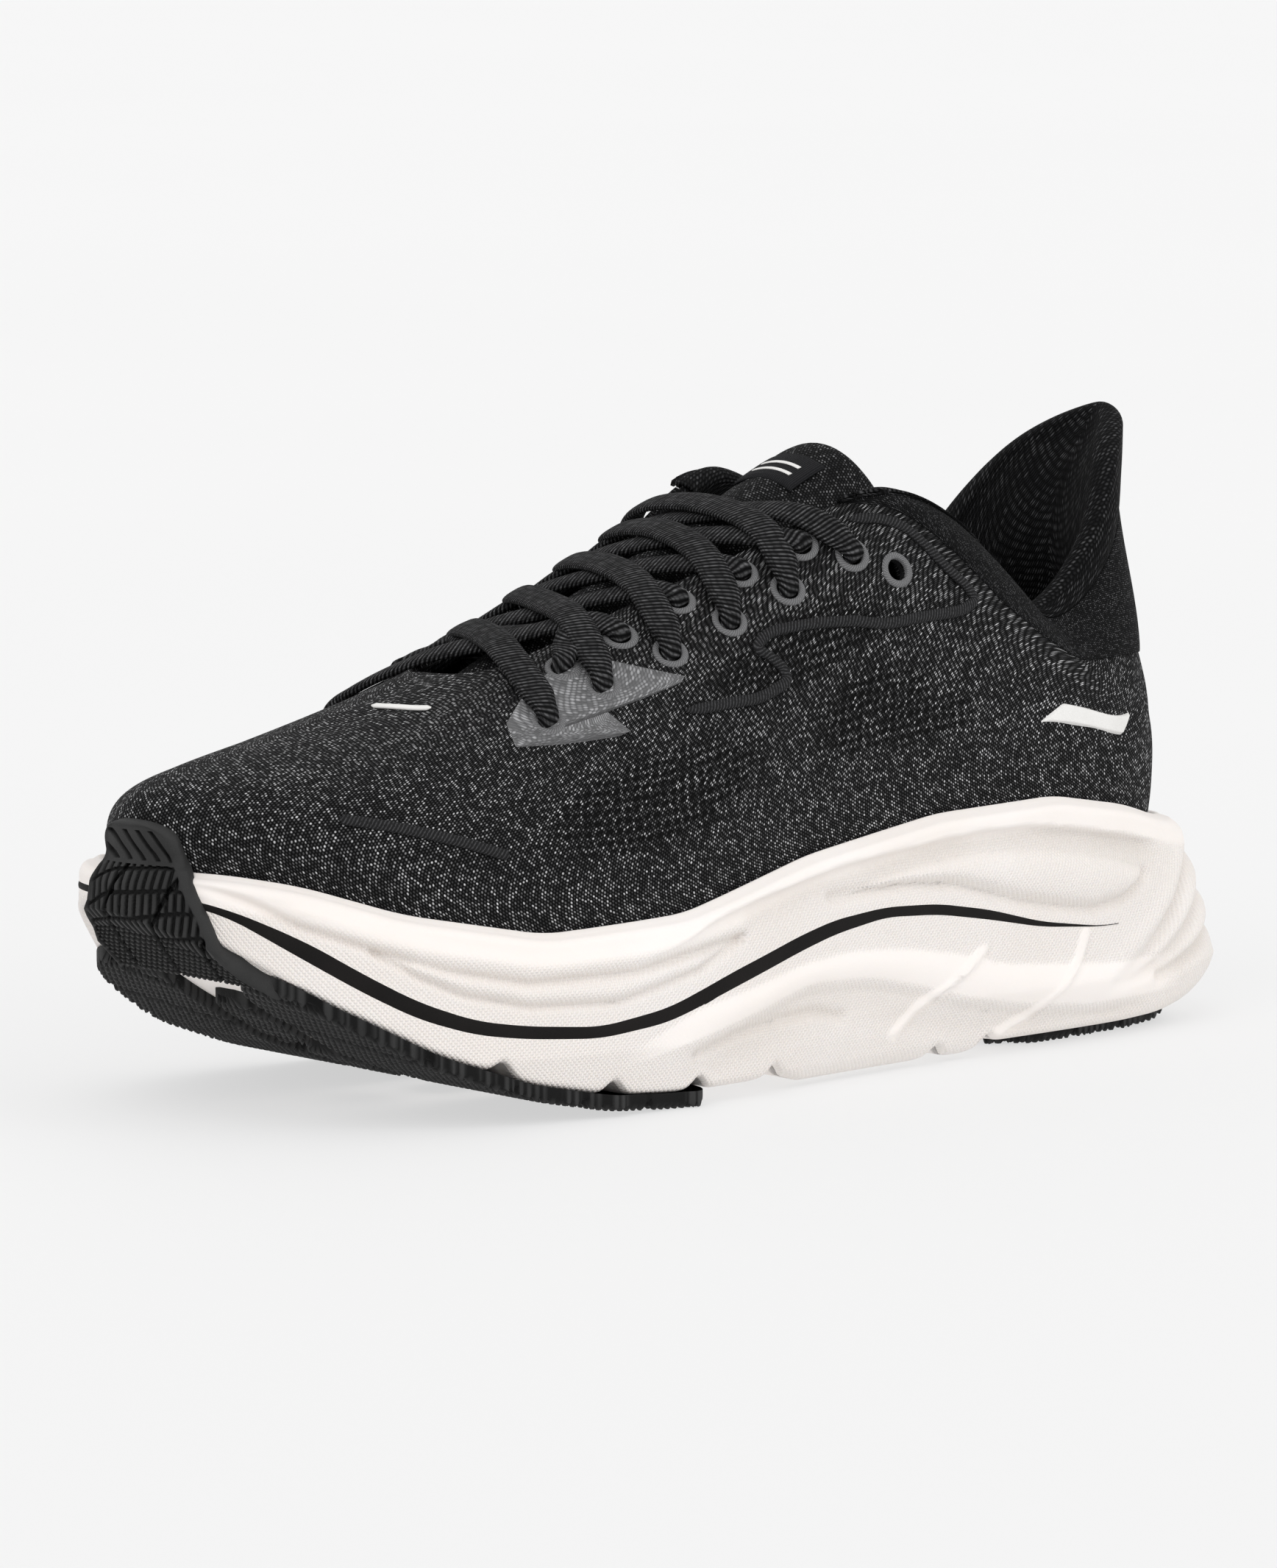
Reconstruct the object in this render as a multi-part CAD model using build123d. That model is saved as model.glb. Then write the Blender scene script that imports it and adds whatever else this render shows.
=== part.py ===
from build123d import *
import os
from math import cos, pi, radians, sin

import numpy as np

# Left running shoe, modelled as it is built: a sculpted foam midsole on rubber pods,
# a lasted knit upper with its stiffeners, lining and collar foam, a gusseted tongue,
# one lace, and a loose sockliner. Millimetres, +Z up, toe towards -X, lateral side -Y.

# Driving dimensions of the finished shoe.
CENTRE = (3.33, 0.5)  # plan position of the box centre in the last's own numbers
KNIT = 1.2  # outer knit
FILM = 0.5  # bonded films and embroidery, standing on the knit
LINING = 0.7
STIFFENER = 1.1  # toe puff and heel counter
GAP = 0.3  # air between plies
PAD_GAP = 0.5  # air between the collar foam and its lining, which curve more
RUBBER = 3.4
BOARD = 1.0
INSOLE_FOAM = 4.0
INSOLE_CLOTH = 0.6
RIM_LEDGE = 4.0  # foam rim seen outside the upper
STATIONS = 48  # facets round the shoe, shared by every ply and by the foam
ROWS = (-0.85, 0.0, 0.15, 0.32, 0.5, 0.68, 0.84, 1.0)  # facet rows from skirt to top edge
LACE_RADIUS = 1.7
LACE_ROOM = 0.2  # clearance round the lace where it passes a ply
TIP_LENGTH = 10.0
EYELET_RADIUS = 3.0
RING_RADII = (4.1, 5.2)  # the sewn ring round an eyelet
RING_SEAT = 0.4  # height of the rings above the knit

# Closed rails round the shoe, 24 stations from the toe tip along the lateral side to
# the heel and back along the medial side. The upper is a cubic patch between them.
FEATHER = [
    (-145, 8, 57), (-139, -8, 57), (-127.5, -22, 55), (-107, -35.5, 47.5), (-76, -47, 41.5), (-38, -51.5, 43),
    (2, -48, 52), (45, -44, 57.5), (84, -41, 58), (110, -36.5, 53.5), (127, -28, 49), (135.5, -14.5, 48),
    (138.5, 0, 48), (135.5, 14.5, 48), (127, 27.5, 49), (110, 35.5, 53.5), (84, 38.5, 58), (45, 38.5, 58.5),
    (2, 40.5, 53), (-38, 47.5, 44), (-76, 52, 42), (-107, 48, 47.5), (-127, 36, 54), (-140, 22, 56.5),
]
LOWER_SIDE = [
    (-153, 8, 83), (-147, -10.5, 82), (-134, -28, 77), (-112, -42, 69), (-79, -52, 62), (-40, -56, 66),
    (2, -52, 76), (46, -48, 84), (86, -44, 84), (114, -38.5, 78), (131, -30, 78), (139.5, -16, 80),
    (142.5, 0, 82), (139.5, 16, 80), (131, 29.5, 78), (114, 37, 78), (86, 41.5, 84), (46, 42.5, 84),
    (2, 45, 76), (-40, 52, 65), (-79, 56, 60), (-112, 52, 67), (-132, 41, 75), (-146, 25, 80),
]
UPPER_SIDE = [
    (-126, 6, 73), (-120, -8, 75), (-106, -20, 78), (-84, -28, 84), (-56, -32, 91), (-24, -36, 100),
    (10, -38, 108), (44, -40, 114), (80, -38, 102), (102, -34, 88), (118, -28, 94), (123.5, -17, 100),
    (126, 0, 100), (123.5, 17, 100), (118, 27, 94), (102, 33, 88), (80, 36, 102), (44, 37, 114),
    (10, 36, 106), (-24, 35, 97), (-56, 32, 88), (-84, 30, 80), (-106, 24, 75), (-120, 16, 73),
]
TOP_EDGE = [
    (-66, 4, 95), (-65.5, -2, 95), (-62, -8.5, 95.5), (-52, -14, 98.5), (-34, -17, 105), (-10, -19, 113),
    (16, -23.5, 122.5), (40, -29.5, 130), (68, -29.5, 118), (91, -26.5, 99.5), (112, -25.5, 115), (128, -15, 133.5),
    (140, 0, 140), (129, 15, 134), (113, 26, 116), (91, 28, 100), (68, 31, 118), (40, 31, 130),
    (16, 25, 121), (-10, 20.5, 111), (-34, 18.5, 102), (-52, 16, 96), (-62, 12, 94.5), (-65.5, 8.5, 94.5),
]


def ring(points):
    """A smooth closed curve through the points; the fraction of the way round gives a place on it."""
    through = np.array(points, float)
    count = len(through)
    step = np.eye(count)
    blend = 4 * step + np.roll(step, 1, 0) + np.roll(step, -1, 0)
    control = np.linalg.solve(blend / 6, through)

    def at(t):
        place = t % 1.0 * count
        i = int(place)
        f = place - i
        weights = ((1 - f) ** 3, 3 * f**3 - 6 * f**2 + 4, 1 + 3 * f + 3 * f**2 - 3 * f**3, f**3)
        return sum(w * control[(i + k - 1) % count] for k, w in enumerate(weights)) / 6

    return at


RAILS = [ring(points) for points in (FEATHER, LOWER_SIDE, UPPER_SIDE, TOP_EDGE)]


def footbed_height(x):
    return float(np.interp(x, *zip(*FOOTBED_LINE)))


def skin(t, h):
    """The outer face of the upper: t runs round the shoe, h from the feather line to the top edge.

    Below the feather line (h < 0) it drops straight to the footbed, which it meets at h = -1.
    """
    a, b, c, d = (rail(t) for rail in RAILS)
    if h < 0:
        return a + np.array([0, 0, h * (a[2] - footbed_height(a[0]))])
    return (1 - h) ** 3 * a + 3 * h * (1 - h) ** 2 * b + 3 * h * h * (1 - h) * c + h**3 * d


def outward(t, h):
    step = 1e-3
    along = skin(t + step, h) - skin(t - step, h)
    up = skin(t, h + step) - skin(t, h - step)
    normal = np.cross(along, up)
    return normal / np.linalg.norm(normal)


def inside(t, h, depth):
    return skin(t, h) - depth * outward(t, h)


def flattened(points):
    """The points moved onto the plane that fits them best."""
    middle = points.mean(axis=0)
    normal = np.linalg.svd(points - middle)[2][2]
    return points - np.outer((points - middle) @ normal, normal)


def value(setting, *place):
    return setting(*place) if callable(setting) else setting


def slice_of(t, low, high, outer, inner, flat):
    """One closed cross-section of a ply at station t."""
    bottom, top = value(low, t), value(high, t)
    heights = [bottom, *[h for h in ROWS if bottom + 0.02 < h < top - 0.02], top]
    out_line = [inside(t, h, value(outer, t, h)) for h in heights]
    in_line = [inside(t, h, value(inner, t, h)) for h in reversed(heights)]
    points = np.array(out_line + in_line)
    if flat:
        points = flattened(points)
    return Wire(Polyline(*[tuple(p) for p in points], close=True).edges())


def ply(start, end, low, high, outer, inner, sections=None):
    """A layer of the upper between two stations, two heights and two depths."""
    sections = sections or round((end - start) * STATIONS) + 1
    stations = np.linspace(start, end, sections)
    wires = [slice_of(t, low, high, outer, inner, t in (stations[0], stations[-1])) for t in stations]
    return Solid.make_loft(wires, ruled=True)


# Plies of the upper, as depths below its outer face.
BACKING = (KNIT + GAP, KNIT + GAP + STIFFENER)
LINING_DEPTH = (BACKING[1] + GAP, BACKING[1] + GAP + LINING)
COLLAR_START = 15 / STATIONS  # the collar runs from here round the heel to the other side
COLLAR_LOW = 0.45
SEAM = 0.002  # gap between two pieces that meet end to end, as a share of the way round
SKIRT_END = -0.85  # the upper is tucked inside the foam rim down to here

# Widest outline of the foam, the same stations as the upper's rails.
WIDEST = [
    (-150, 8), (-145, -8), (-132.5, -25), (-112, -40), (-80, -52), (-40, -57), (2, -53.5), (45, -49),
    (85, -47), (118, -43.5), (140, -36), (154, -20), (159, 0), (154, 20), (140, 35), (118, 42),
    (85, 44), (45, 43), (2, 45), (-40, 53), (-80, 58), (-111, 54), (-132, 41), (-146, 25),
]
# Side profiles, as (x, z): the foam's rim, its underside, and the footbed inside it.
RIM_LINE = [
    (-158, 56.4), (-140, 56.4), (-127, 53.9), (-107, 47), (-76, 41.1), (-38, 42.8), (2, 51.8), (45, 57.2),
    (84, 57.7), (110, 53.2), (127, 48.7), (140, 47.4), (166, 44),
]
UNDERSIDE = [
    (-160, 58), (-150, 49), (-140, 42), (-124, 29.5), (-102, 16.8), (-80, 8.8), (-60, 4.8), (-40, 3.4),
]
HEEL_BEVEL = [(124, 3.4), (142, 5), (156, 10.5), (168, 19)]
FOOTBED_LINE = [
    (-158, 49.5), (-140, 46), (-127, 41), (-107, 35), (-76, 30.5), (-38, 30.5), (2, 34), (45, 37.5),
    (84, 38.6), (110, 38.6), (140, 38.6), (166, 38.6),
]


def plan_curve(rail, offset=0.0, count=STATIONS):
    """A closed plan outline moved outward by offset; offset may vary with the station."""
    points = []
    for t in np.linspace(0, 1, count, endpoint=False):
        along = (rail(t + 1e-3) - rail(t - 1e-3))[:2]
        along = along / np.linalg.norm(along)
        out = np.array([along[1], -along[0]])
        points.append(rail(t)[:2] + value(offset, t) * out)
    return points


def plan_wire(points, z):
    return Wire(Polyline(*[(x, y, z) for x, y in points], close=True).edges())


def profile(points):
    return Polyline(*[(x, 0, z) for x, z in points]).edges()


def straight(start, end):
    return Line((start[0], 0, start[1]), (end[0], 0, end[1])).edge()


def raised(points, lift):
    return [(x, z + lift) for x, z in points]


def across(edges, half_width=80):
    """A slab right across the shoe from a closed side profile."""
    return extrude(Face(Wire(edges)), amount=half_width, dir=(0, 1, 0), both=True)


def band(low, high):
    """The slab between two side profiles that have the same ends in x."""
    return across([*profile(high), straight(high[-1], low[-1]), *profile(low), straight(low[0], high[0])])


def underside(lift=0.0):
    """Edges of the foam's underside: the toe rocker, the flat and the heel bevel."""
    rocker, bevel = raised(UNDERSIDE, lift), raised(HEEL_BEVEL, lift)
    return profile([*rocker, *bevel]), rocker[0], bevel[-1]


FEATHER_RAIL = RAILS[0]
WIDEST_RAIL = ring(WIDEST)


def heel_share(t):
    """1 at the back of the heel, falling to 0 a tenth of the way round each side of it."""
    return max(0.0, cos((t - 0.5) * 5 * pi)) if abs(t - 0.5) < 0.1 else 0.0


def rim_outline(t):
    along = (FEATHER_RAIL(t + 1e-3) - FEATHER_RAIL(t - 1e-3))[:2]
    along = along / np.linalg.norm(along)
    ledge = RIM_LEDGE + 4.0 * heel_share(t)
    return FEATHER_RAIL(t)[:2] + ledge * np.array([along[1], -along[0]])


def foam_outline(share):
    """Outline between the foam's widest level (0) and its rim (1)."""
    return lambda t: (1 - share) * WIDEST_RAIL(t)[:2] + share * rim_outline(t)


def foam_form(inset=0.0):
    """The foam's side walls, moved inward by inset."""
    levels = [(-4, 0, -8), (5, 0, -2.5), (15, 0, 0), (32, 0.45, 0), (48, 0.95, 0), (64, 1.1, 0)]
    wires = [plan_wire(plan_curve(foam_outline(share), out - inset), z) for z, share, out in levels]
    return Solid.make_loft(wires, ruled=True)


def column(offset, low=-5.0, high=110.0):
    """A vertical prism over the upper's feather line, moved outward by offset."""
    face = Face(plan_wire(plan_curve(FEATHER_RAIL, offset), low))
    return extrude(face, amount=high - low)


# The black line let into the foam's side, as its upper and lower edges.
STRIPE_TOP = [
    (-146, 52.5), (-133, 45.3), (-118, 37.2), (-102, 29.1), (-85, 23.3), (-63, 21.4), (-45, 24.1), (-26, 30.2),
    (-4, 35.7), (18, 38.4), (41, 37.9), (67, 32.2), (96, 27.2),
]
STRIPE_LOW = [
    (-146, 49.5), (-133, 42.2), (-118, 33.5), (-102, 25.4), (-85, 19.9), (-63, 18.3), (-45, 20.6), (-26, 25.9),
    (-4, 31.3), (18, 35.7), (41, 35.3), (67, 30.7), (96, 26.8),
]
STRIPE_DEPTH = 1.6
HALF_ROOM = 120.0  # wider than half the shoe
SPLIT = 0.01  # gap where the two halves of the line part at the toe
BUMPER = 2.4  # toe rubber over the foam and the toe box
BUMPER_HALF = 0.034  # its half-width, as a share of the way round


def midsole_and_stripes(form):
    edges, toe, heel = underside()
    sides = [straight(RIM_LINE[-1], heel), straight(toe, RIM_LINE[0])]
    foam = form & across([*profile(RIM_LINE), *edges, *sides])
    above_footbed = band(FOOTBED_LINE, raised(RIM_LINE, 40))
    foam -= column(GAP) & above_footbed
    strip = (form & band(STRIPE_LOW, STRIPE_TOP)) - foam_form(STRIPE_DEPTH)
    foam -= strip
    start, end = STRIPE_TOP[0][0], STRIPE_TOP[-1][0]
    side_room = Box(end - start, HALF_ROOM - SPLIT, 80)
    halves = [strip & Pos((start + end) / 2, side * HALF_ROOM / 2, 30) * side_room for side in (-1, 1)]
    return foam, halves


def plate(polygon):
    """A plan polygon, with rounded corners, as a tall column."""
    face = make_face(Polyline(*[(x, y, -5) for x, y in polygon], close=True))
    rounded = fillet(face.vertices(), 5)
    return extrude(rounded, amount=70)


RUBBER_PLANS = {
    "outsole_toe": [(-160, -40), (-133, -40), (-133, 50), (-160, 50)],
    "outsole_forefoot_lateral": [(-131, -60), (-131, -9), (-30, -13), (-12, -60)],
    "outsole_forefoot_medial": [(-131, 60), (-131, 17), (-40, 17), (-22, 60)],
    "outsole_heel_lateral": [(72, -60), (92, -9), (165, -4), (165, -60)],
    "outsole_heel_medial": [(58, 60), (78, 8), (165, 4), (165, 60)],
}
CENTRE_PODS = [(-112, 4), (-86, 4), (-60, 3), (-34, 2)]
POD_SIZE = (20, 15)


def rubber_parts(form):
    upper_edges, toe_top, heel_top = underside()
    lower_edges, toe_low, heel_low = underside(-RUBBER)
    layer = across([*upper_edges, straight(heel_top, heel_low), *lower_edges, straight(toe_low, toe_top)])
    layer &= form
    parts = {name: layer & plate(plan) for name, plan in RUBBER_PLANS.items()}
    half_x, half_y = POD_SIZE[0] / 2, POD_SIZE[1] / 2
    corners = [(-half_x, -half_y), (half_x, -half_y), (half_x, half_y), (-half_x, half_y)]
    parts["outsole_center_pods"] = [
        layer & plate([(x + a, y + b) for a, b in corners]) for x, y in CENTRE_PODS
    ]
    return parts


def toe_bumper():
    """The toe rubber, carried up over the foam and onto the toe box."""
    grown, clear = foam_form(-BUMPER), foam_form(-GAP / 2)
    window = Pos(-160, 8, 38) * Box(50, 30, 42)
    front = (grown & window) - clear
    tongue = ply(
        -BUMPER_HALF, BUMPER_HALF, 0.012, 0.30,
        lambda t, h: -BUMPER - 3.5 * max(0.0, 1 - h / 0.1), -GAP, sections=7,
    )
    return front + tongue


# Tongue, as the height of its ridge along x, with a rounded cross-section.
TONGUE_LINE = [
    (-72, 86.5), (-62, 91), (-50, 96.5), (-37, 102.5), (-25, 108), (-12, 113.5), (0, 118.5), (15, 124.5),
    (29, 131), (35, 134), (43, 137.3), (50, 139),
]
TONGUE_HALF = 20.0
TONGUE_HALF_TOP = 24.0
TONGUE_DROP = 13.5
TONGUE_TURN = 29.0  # the free end starts here
TONGUE_PLIES = {"cover": (0.0, 1.0), "foam": (1.2, 4.6), "lining": (4.8, 5.4)}


def tongue_half(x):
    return float(np.interp(x, (5, TONGUE_TURN), (TONGUE_HALF, TONGUE_HALF_TOP)))


def tongue_top(x, y):
    ridge = float(np.interp(x, *zip(*TONGUE_LINE)))
    return ridge - TONGUE_DROP * (y / tongue_half(x)) ** 2


def tongue_ply(start, end, above, below, reach=1.0):
    stations = [start] + [x for x, _ in TONGUE_LINE if start + 3 < x < end - 3] + [end]
    wires = []
    for x in stations:
        ys = np.linspace(-1, 1, 7) * reach * tongue_half(x)
        over_line = [(x, y, tongue_top(x, y) - above) for y in ys]
        under_line = [(x, y, tongue_top(x, y) - below) for y in reversed(ys)]
        edges = [
            Spline(*over_line).edge(), Line(over_line[-1], under_line[0]).edge(),
            Spline(*under_line).edge(), Line(under_line[-1], over_line[0]).edge(),
        ]
        wires.append(Wire(edges))
    return Solid.make_loft(wires)


# Eyelets, as places on the upper; the medial ones lie a little nearer the toe.
OUTER_EYELETS = [(0.160, 0.672), (0.179, 0.730), (0.204, 0.748), (0.226, 0.768), (0.248, 0.787), (0.273, 0.805)]
INNER_EYELETS = [(0.159, 0.848), (0.183, 0.880), (0.207, 0.915), (0.232, 0.915), (0.256, 0.912)]
SPARE_EYELET = (0.287, 0.720)
MEDIAL_SHIFT = 0.012


def on_side(place, side):
    t, h = place
    return (t, h) if side < 0 else (1 - t + MEDIAL_SHIFT, h)


def side_eyelets(side):
    return [on_side(place, side) for place in (*OUTER_EYELETS, *INNER_EYELETS, SPARE_EYELET)]


def eyelet_cutters(side):
    """Drills through every ply, one for each eyelet of a side."""
    drill = Pos(0, 0, -2) * Cylinder(EYELET_RADIUS, 8)
    return [Plane(tuple(skin(t, h)), z_dir=tuple(outward(t, h))) * drill for t, h in side_eyelets(side)]


def eyelet_rings(side):
    rings = []
    for t, h in side_eyelets(side):
        seat = Plane(tuple(inside(t, h, -RING_SEAT)), z_dir=tuple(outward(t, h)))
        hole, disc = (Cylinder(radius, FILM) for radius in RING_RADII)
        rings.append(seat * Pos(0, 0, FILM / 2) * (disc - hole))
    return rings


LACE_DEEP = LINING_DEPTH[1] + LACE_RADIUS + 0.5
LACE_LOW = LACE_RADIUS + 1.4
LACE_OVER = LACE_LOW + 2 * LACE_RADIUS + 0.5


def throat_edge(x, side):
    """The point of the top edge at x, and its outward direction."""
    stations = np.linspace(0.02, 0.31, 59)
    if side > 0:
        stations = 1 - stations
    best = min(stations, key=lambda t: abs(skin(t, 1.0)[0] - x))
    return skin(best, 1.0), outward(best, 0.98)


def strap(start, start_side, end, over):
    """Waypoints of the lace from an inner eyelet, over the tongue, to an outer eyelet."""
    a = skin(*start) + LACE_LOW * outward(*start)
    b = skin(*end) + LACE_LOW * outward(*end)

    def plan(y):
        share = (y - a[1]) / (b[1] - a[1])
        return a[0] + share * (b[0] - a[0])

    points = [a]
    for side in (start_side, -start_side):
        rise = LACE_LOW + 0.4 + (2.4 if over and side != start_side else 0.0)
        edge, out = throat_edge(plan(side * 19), side)
        rim = edge + rise * out
        crown_y = side * 8.0
        x = plan(crown_y)
        crown = np.array([x, crown_y, tongue_top(x, 0) + (LACE_OVER if over else LACE_LOW)])
        points += [rim, crown] if side == start_side else [crown, rim]
    return [*points, b]


def dive(place):
    """Just under an eyelet, inside the lining."""
    return inside(*place, LACE_DEEP)


def lace_route():
    """The whole lace: in at the top lateral eyelet, down the throat, across, and up again."""
    def outer(row, side):
        return on_side(OUTER_EYELETS[row], side)

    def inner(row, side):
        return on_side(INNER_EYELETS[row], side)

    def climb(side):
        """From the bottom bar up to the last eyelet, starting under the bottom outer one."""
        points = [dive(outer(0, side))]
        for row in range(5):
            over = side > 0
            points += [dive(inner(row, side)), *strap(inner(row, side), side, outer(row + 1, -side), over)]
            side = -side
            points.append(dive(outer(row + 1, side)))
        t, h = outer(5, side)
        points.append(inside(t + 0.012 * side, h - 0.13, LACE_DEEP + 0.8))
        return points

    near, far = outer(0, -1), outer(0, 1)
    bar = [skin(*far) + LACE_LOW * outward(*far)]
    for y in (16, 5, -6, -17):
        share = (y - skin(*far)[1]) / (skin(*near)[1] - skin(*far)[1])
        x = skin(*far)[0] + share * (skin(*near)[0] - skin(*far)[0])
        bar.append(np.array([x, y, 99.5 - 0.008 * y * y]))
    bar.append(skin(*near) + LACE_LOW * outward(*near))
    return [*reversed(climb(1)), *bar, *climb(-1)]


def corner_radii(points):
    radii = []
    for before, here, after in zip(points, points[1:], points[2:]):
        one, two = here - before, after - here
        lengths = np.linalg.norm(one), np.linalg.norm(two)
        turn = np.arccos(np.clip(one @ two / lengths[0] / lengths[1], -1, 1))
        radii.append(0.45 * min(lengths) / np.tan(turn / 2))
    return radii


def lace():
    """The lace, its two tips, and the room it needs through the plies it passes."""
    points = lace_route()
    path = FilletPolyline(*[tuple(p) for p in points], radius=corner_radii(points))
    start = Plane(path @ 0, z_dir=path % 0)
    tube, room = (sweep(start * Circle(radius), path=path) for radius in (LACE_RADIUS, LACE_RADIUS + LACE_ROOM))
    print("lace length", round(path.length, 1))
    tips = []
    for place, way in ((path @ 0, -(path % 0)), (path @ 1, path % 1)):
        tip = Cylinder(LACE_RADIUS - 0.2, TIP_LENGTH)
        tips.append(Plane(place, z_dir=way) * Pos(0, 0, TIP_LENGTH / 2) * tip)
    return tube, tips, room


def piping(places, width, height, lift=0.5):
    """A raised line of stitching laid along places on the upper."""
    spots = [np.array(place) for place in places]
    dense = []
    for one, two in zip(spots, spots[1:]):
        dense += [one + (two - one) * share for share in (0.0, 0.5)]
    dense.append(spots[-1])
    wires = []
    for i, (t, h) in enumerate(dense):
        ahead = dense[min(i + 1, len(dense) - 1)]
        behind = dense[max(i - 1, 0)]
        along = skin(*ahead) - skin(*behind)
        out = outward(t, h)
        across_line = np.cross(along, out)
        across_line = across_line / np.linalg.norm(across_line) * width / 2
        base, crest = skin(t, h) + lift * out, skin(t, h) + (lift + height) * out
        corners = [base - across_line, base + across_line, crest + across_line * 0.6, crest - across_line * 0.6]
        wires.append(Wire(Polyline(*[tuple(c) for c in corners], close=True).edges()))
    return Solid.make_loft(wires, ruled=True)


QUARTER_LINE = [
    (0.285, 0.905), (0.294, 0.878), (0.300, 0.810), (0.311, 0.662), (0.310, 0.613), (0.299, 0.570), (0.283, 0.562),
    (0.267, 0.613), (0.239, 0.680), (0.235, 0.655), (0.243, 0.557), (0.242, 0.517), (0.225, 0.532), (0.209, 0.562),
]
TOE_LINE = [(0.157, 0.263), (0.140, 0.300), (0.120, 0.318), (0.100, 0.315)]
VAMP_LINE = [(0.030, 0.880), (0.060, 0.872), (0.090, 0.850)]


def mirrored(places):
    return [(1 - t, h) for t, h in places]


def collar_pad(t, h):
    """Thickness of the collar foam: fullest half-way up and at the back."""
    back = max(0.0, 1 - abs(t - 0.5) / 0.21)
    return 1.4 + (1.8 + 6.0 * back**0.6) * sin(pi * min(1.0, max(0.0, (h - COLLAR_LOW) / 0.54)))


def both_halves(**settings):
    return ply(0, 0.5, **settings) + ply(0.5, 1.0, **settings)


def main():
    os.makedirs("parts", exist_ok=True)
    parts = {}
    form = foam_form()
    parts["midsole"], stripes = midsole_and_stripes(form)
    parts["midsole_stripe_lateral"], parts["midsole_stripe_medial"] = stripes
    parts.update(rubber_parts(form))
    parts["toe_bumper"] = toe_bumper()

    inner_edge = -(LINING_DEPTH[1] + GAP)
    board_top = raised(FOOTBED_LINE, BOARD)
    parts["strobel_board"] = column(inner_edge) & band(FOOTBED_LINE, board_top)
    insole_column = column(inner_edge - 1.3)
    foam_low, foam_high = raised(board_top, 0.1), raised(board_top, INSOLE_FOAM)
    parts["insole_foam"] = insole_column & band(foam_low, foam_high)
    parts["insole_cover"] = insole_column & band(foam_high, raised(foam_high, INSOLE_CLOTH))

    cutters = {side: eyelet_cutters(side) for side in (-1, 1)}
    all_cutters = cutters[-1] + cutters[1]
    parts["lace"], parts["lace_tips"], room = lace()
    knit = both_halves(low=SKIRT_END, high=1.0, outer=0.0, inner=KNIT)
    parts["upper_knit"] = knit - all_cutters - room
    vamp = ply(-COLLAR_START, COLLAR_START, SKIRT_END, 1.0, *LINING_DEPTH)
    parts["vamp_lining"] = vamp - all_cutters
    quarter = (COLLAR_START + SEAM, 1 - COLLAR_START - SEAM)
    parts["quarter_lining"] = ply(*quarter, SKIRT_END, COLLAR_LOW - 0.01, *LINING_DEPTH, sections=19)
    parts["toe_puff"] = ply(-4 / STATIONS, 4 / STATIONS, -0.5, 0.42, BACKING[0] + 0.3, BACKING[1])
    parts["heel_counter"] = ply(18 / STATIONS, 30 / STATIONS, SKIRT_END, COLLAR_LOW + 0.05, *BACKING)
    for name, side, start in (("lateral", -1, 6), ("medial", 1, 34)):
        backing = ply(start / STATIONS, (start + 8) / STATIONS, 0.60, 0.985, *BACKING)
        parts[f"eyestay_backing_{name}"] = backing - cutters[side]
        parts[f"eyelet_rings_{name}"] = [ring - room for ring in eyelet_rings(side)]

    pad_start = LINING_DEPTH[0]
    parts["collar_foam"] = ply(
        *quarter, COLLAR_LOW + 0.01, 0.985, pad_start, lambda t, h: pad_start + collar_pad(t, h), sections=19
    )
    parts["collar_lining"] = ply(
        *quarter, COLLAR_LOW + 0.01, 1.0, lambda t, h: pad_start + collar_pad(t, h) + PAD_GAP,
        lambda t, h: pad_start + collar_pad(t, h) + PAD_GAP + LINING, sections=19,
    )
    parts["quarter_line_lateral"] = piping(QUARTER_LINE, 2.2, 0.7)
    parts["quarter_line_medial"] = piping(mirrored(QUARTER_LINE), 2.2, 0.7)
    parts["toe_line_lateral"] = piping(TOE_LINE, 2.4, 0.6)
    parts["vamp_bar"] = piping(VAMP_LINE, 1.8, 0.5)
    parts["heel_badge_lateral"] = ply(0.33, 0.385, 0.25, 0.34, -1.1, -0.4, sections=5)

    for name, (above, below) in TONGUE_PLIES.items():
        parts[f"tongue_{name}"] = tongue_ply(-72, TONGUE_TURN - 0.3, above, below)
        parts[f"tongue_top_{name}"] = tongue_ply(TONGUE_TURN + 0.3, 50, above, below)
    parts["tongue_label"] = tongue_ply(31, 42, -0.8, -0.25, reach=0.42)

    for name, shape in parts.items():
        shapes = shape if isinstance(shape, list) else [shape]
        solids = [solid for item in shapes for solid in item.solids()]
        placed = Compound([solid.moved(Location((-CENTRE[0], -CENTRE[1], 0))) for solid in solids])
        export_step(placed, f"parts/{name}.step")
        print(name, len(solids), round(sum(s.volume for s in solids)))


main()
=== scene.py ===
from math import cos, pi, radians, sin

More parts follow.
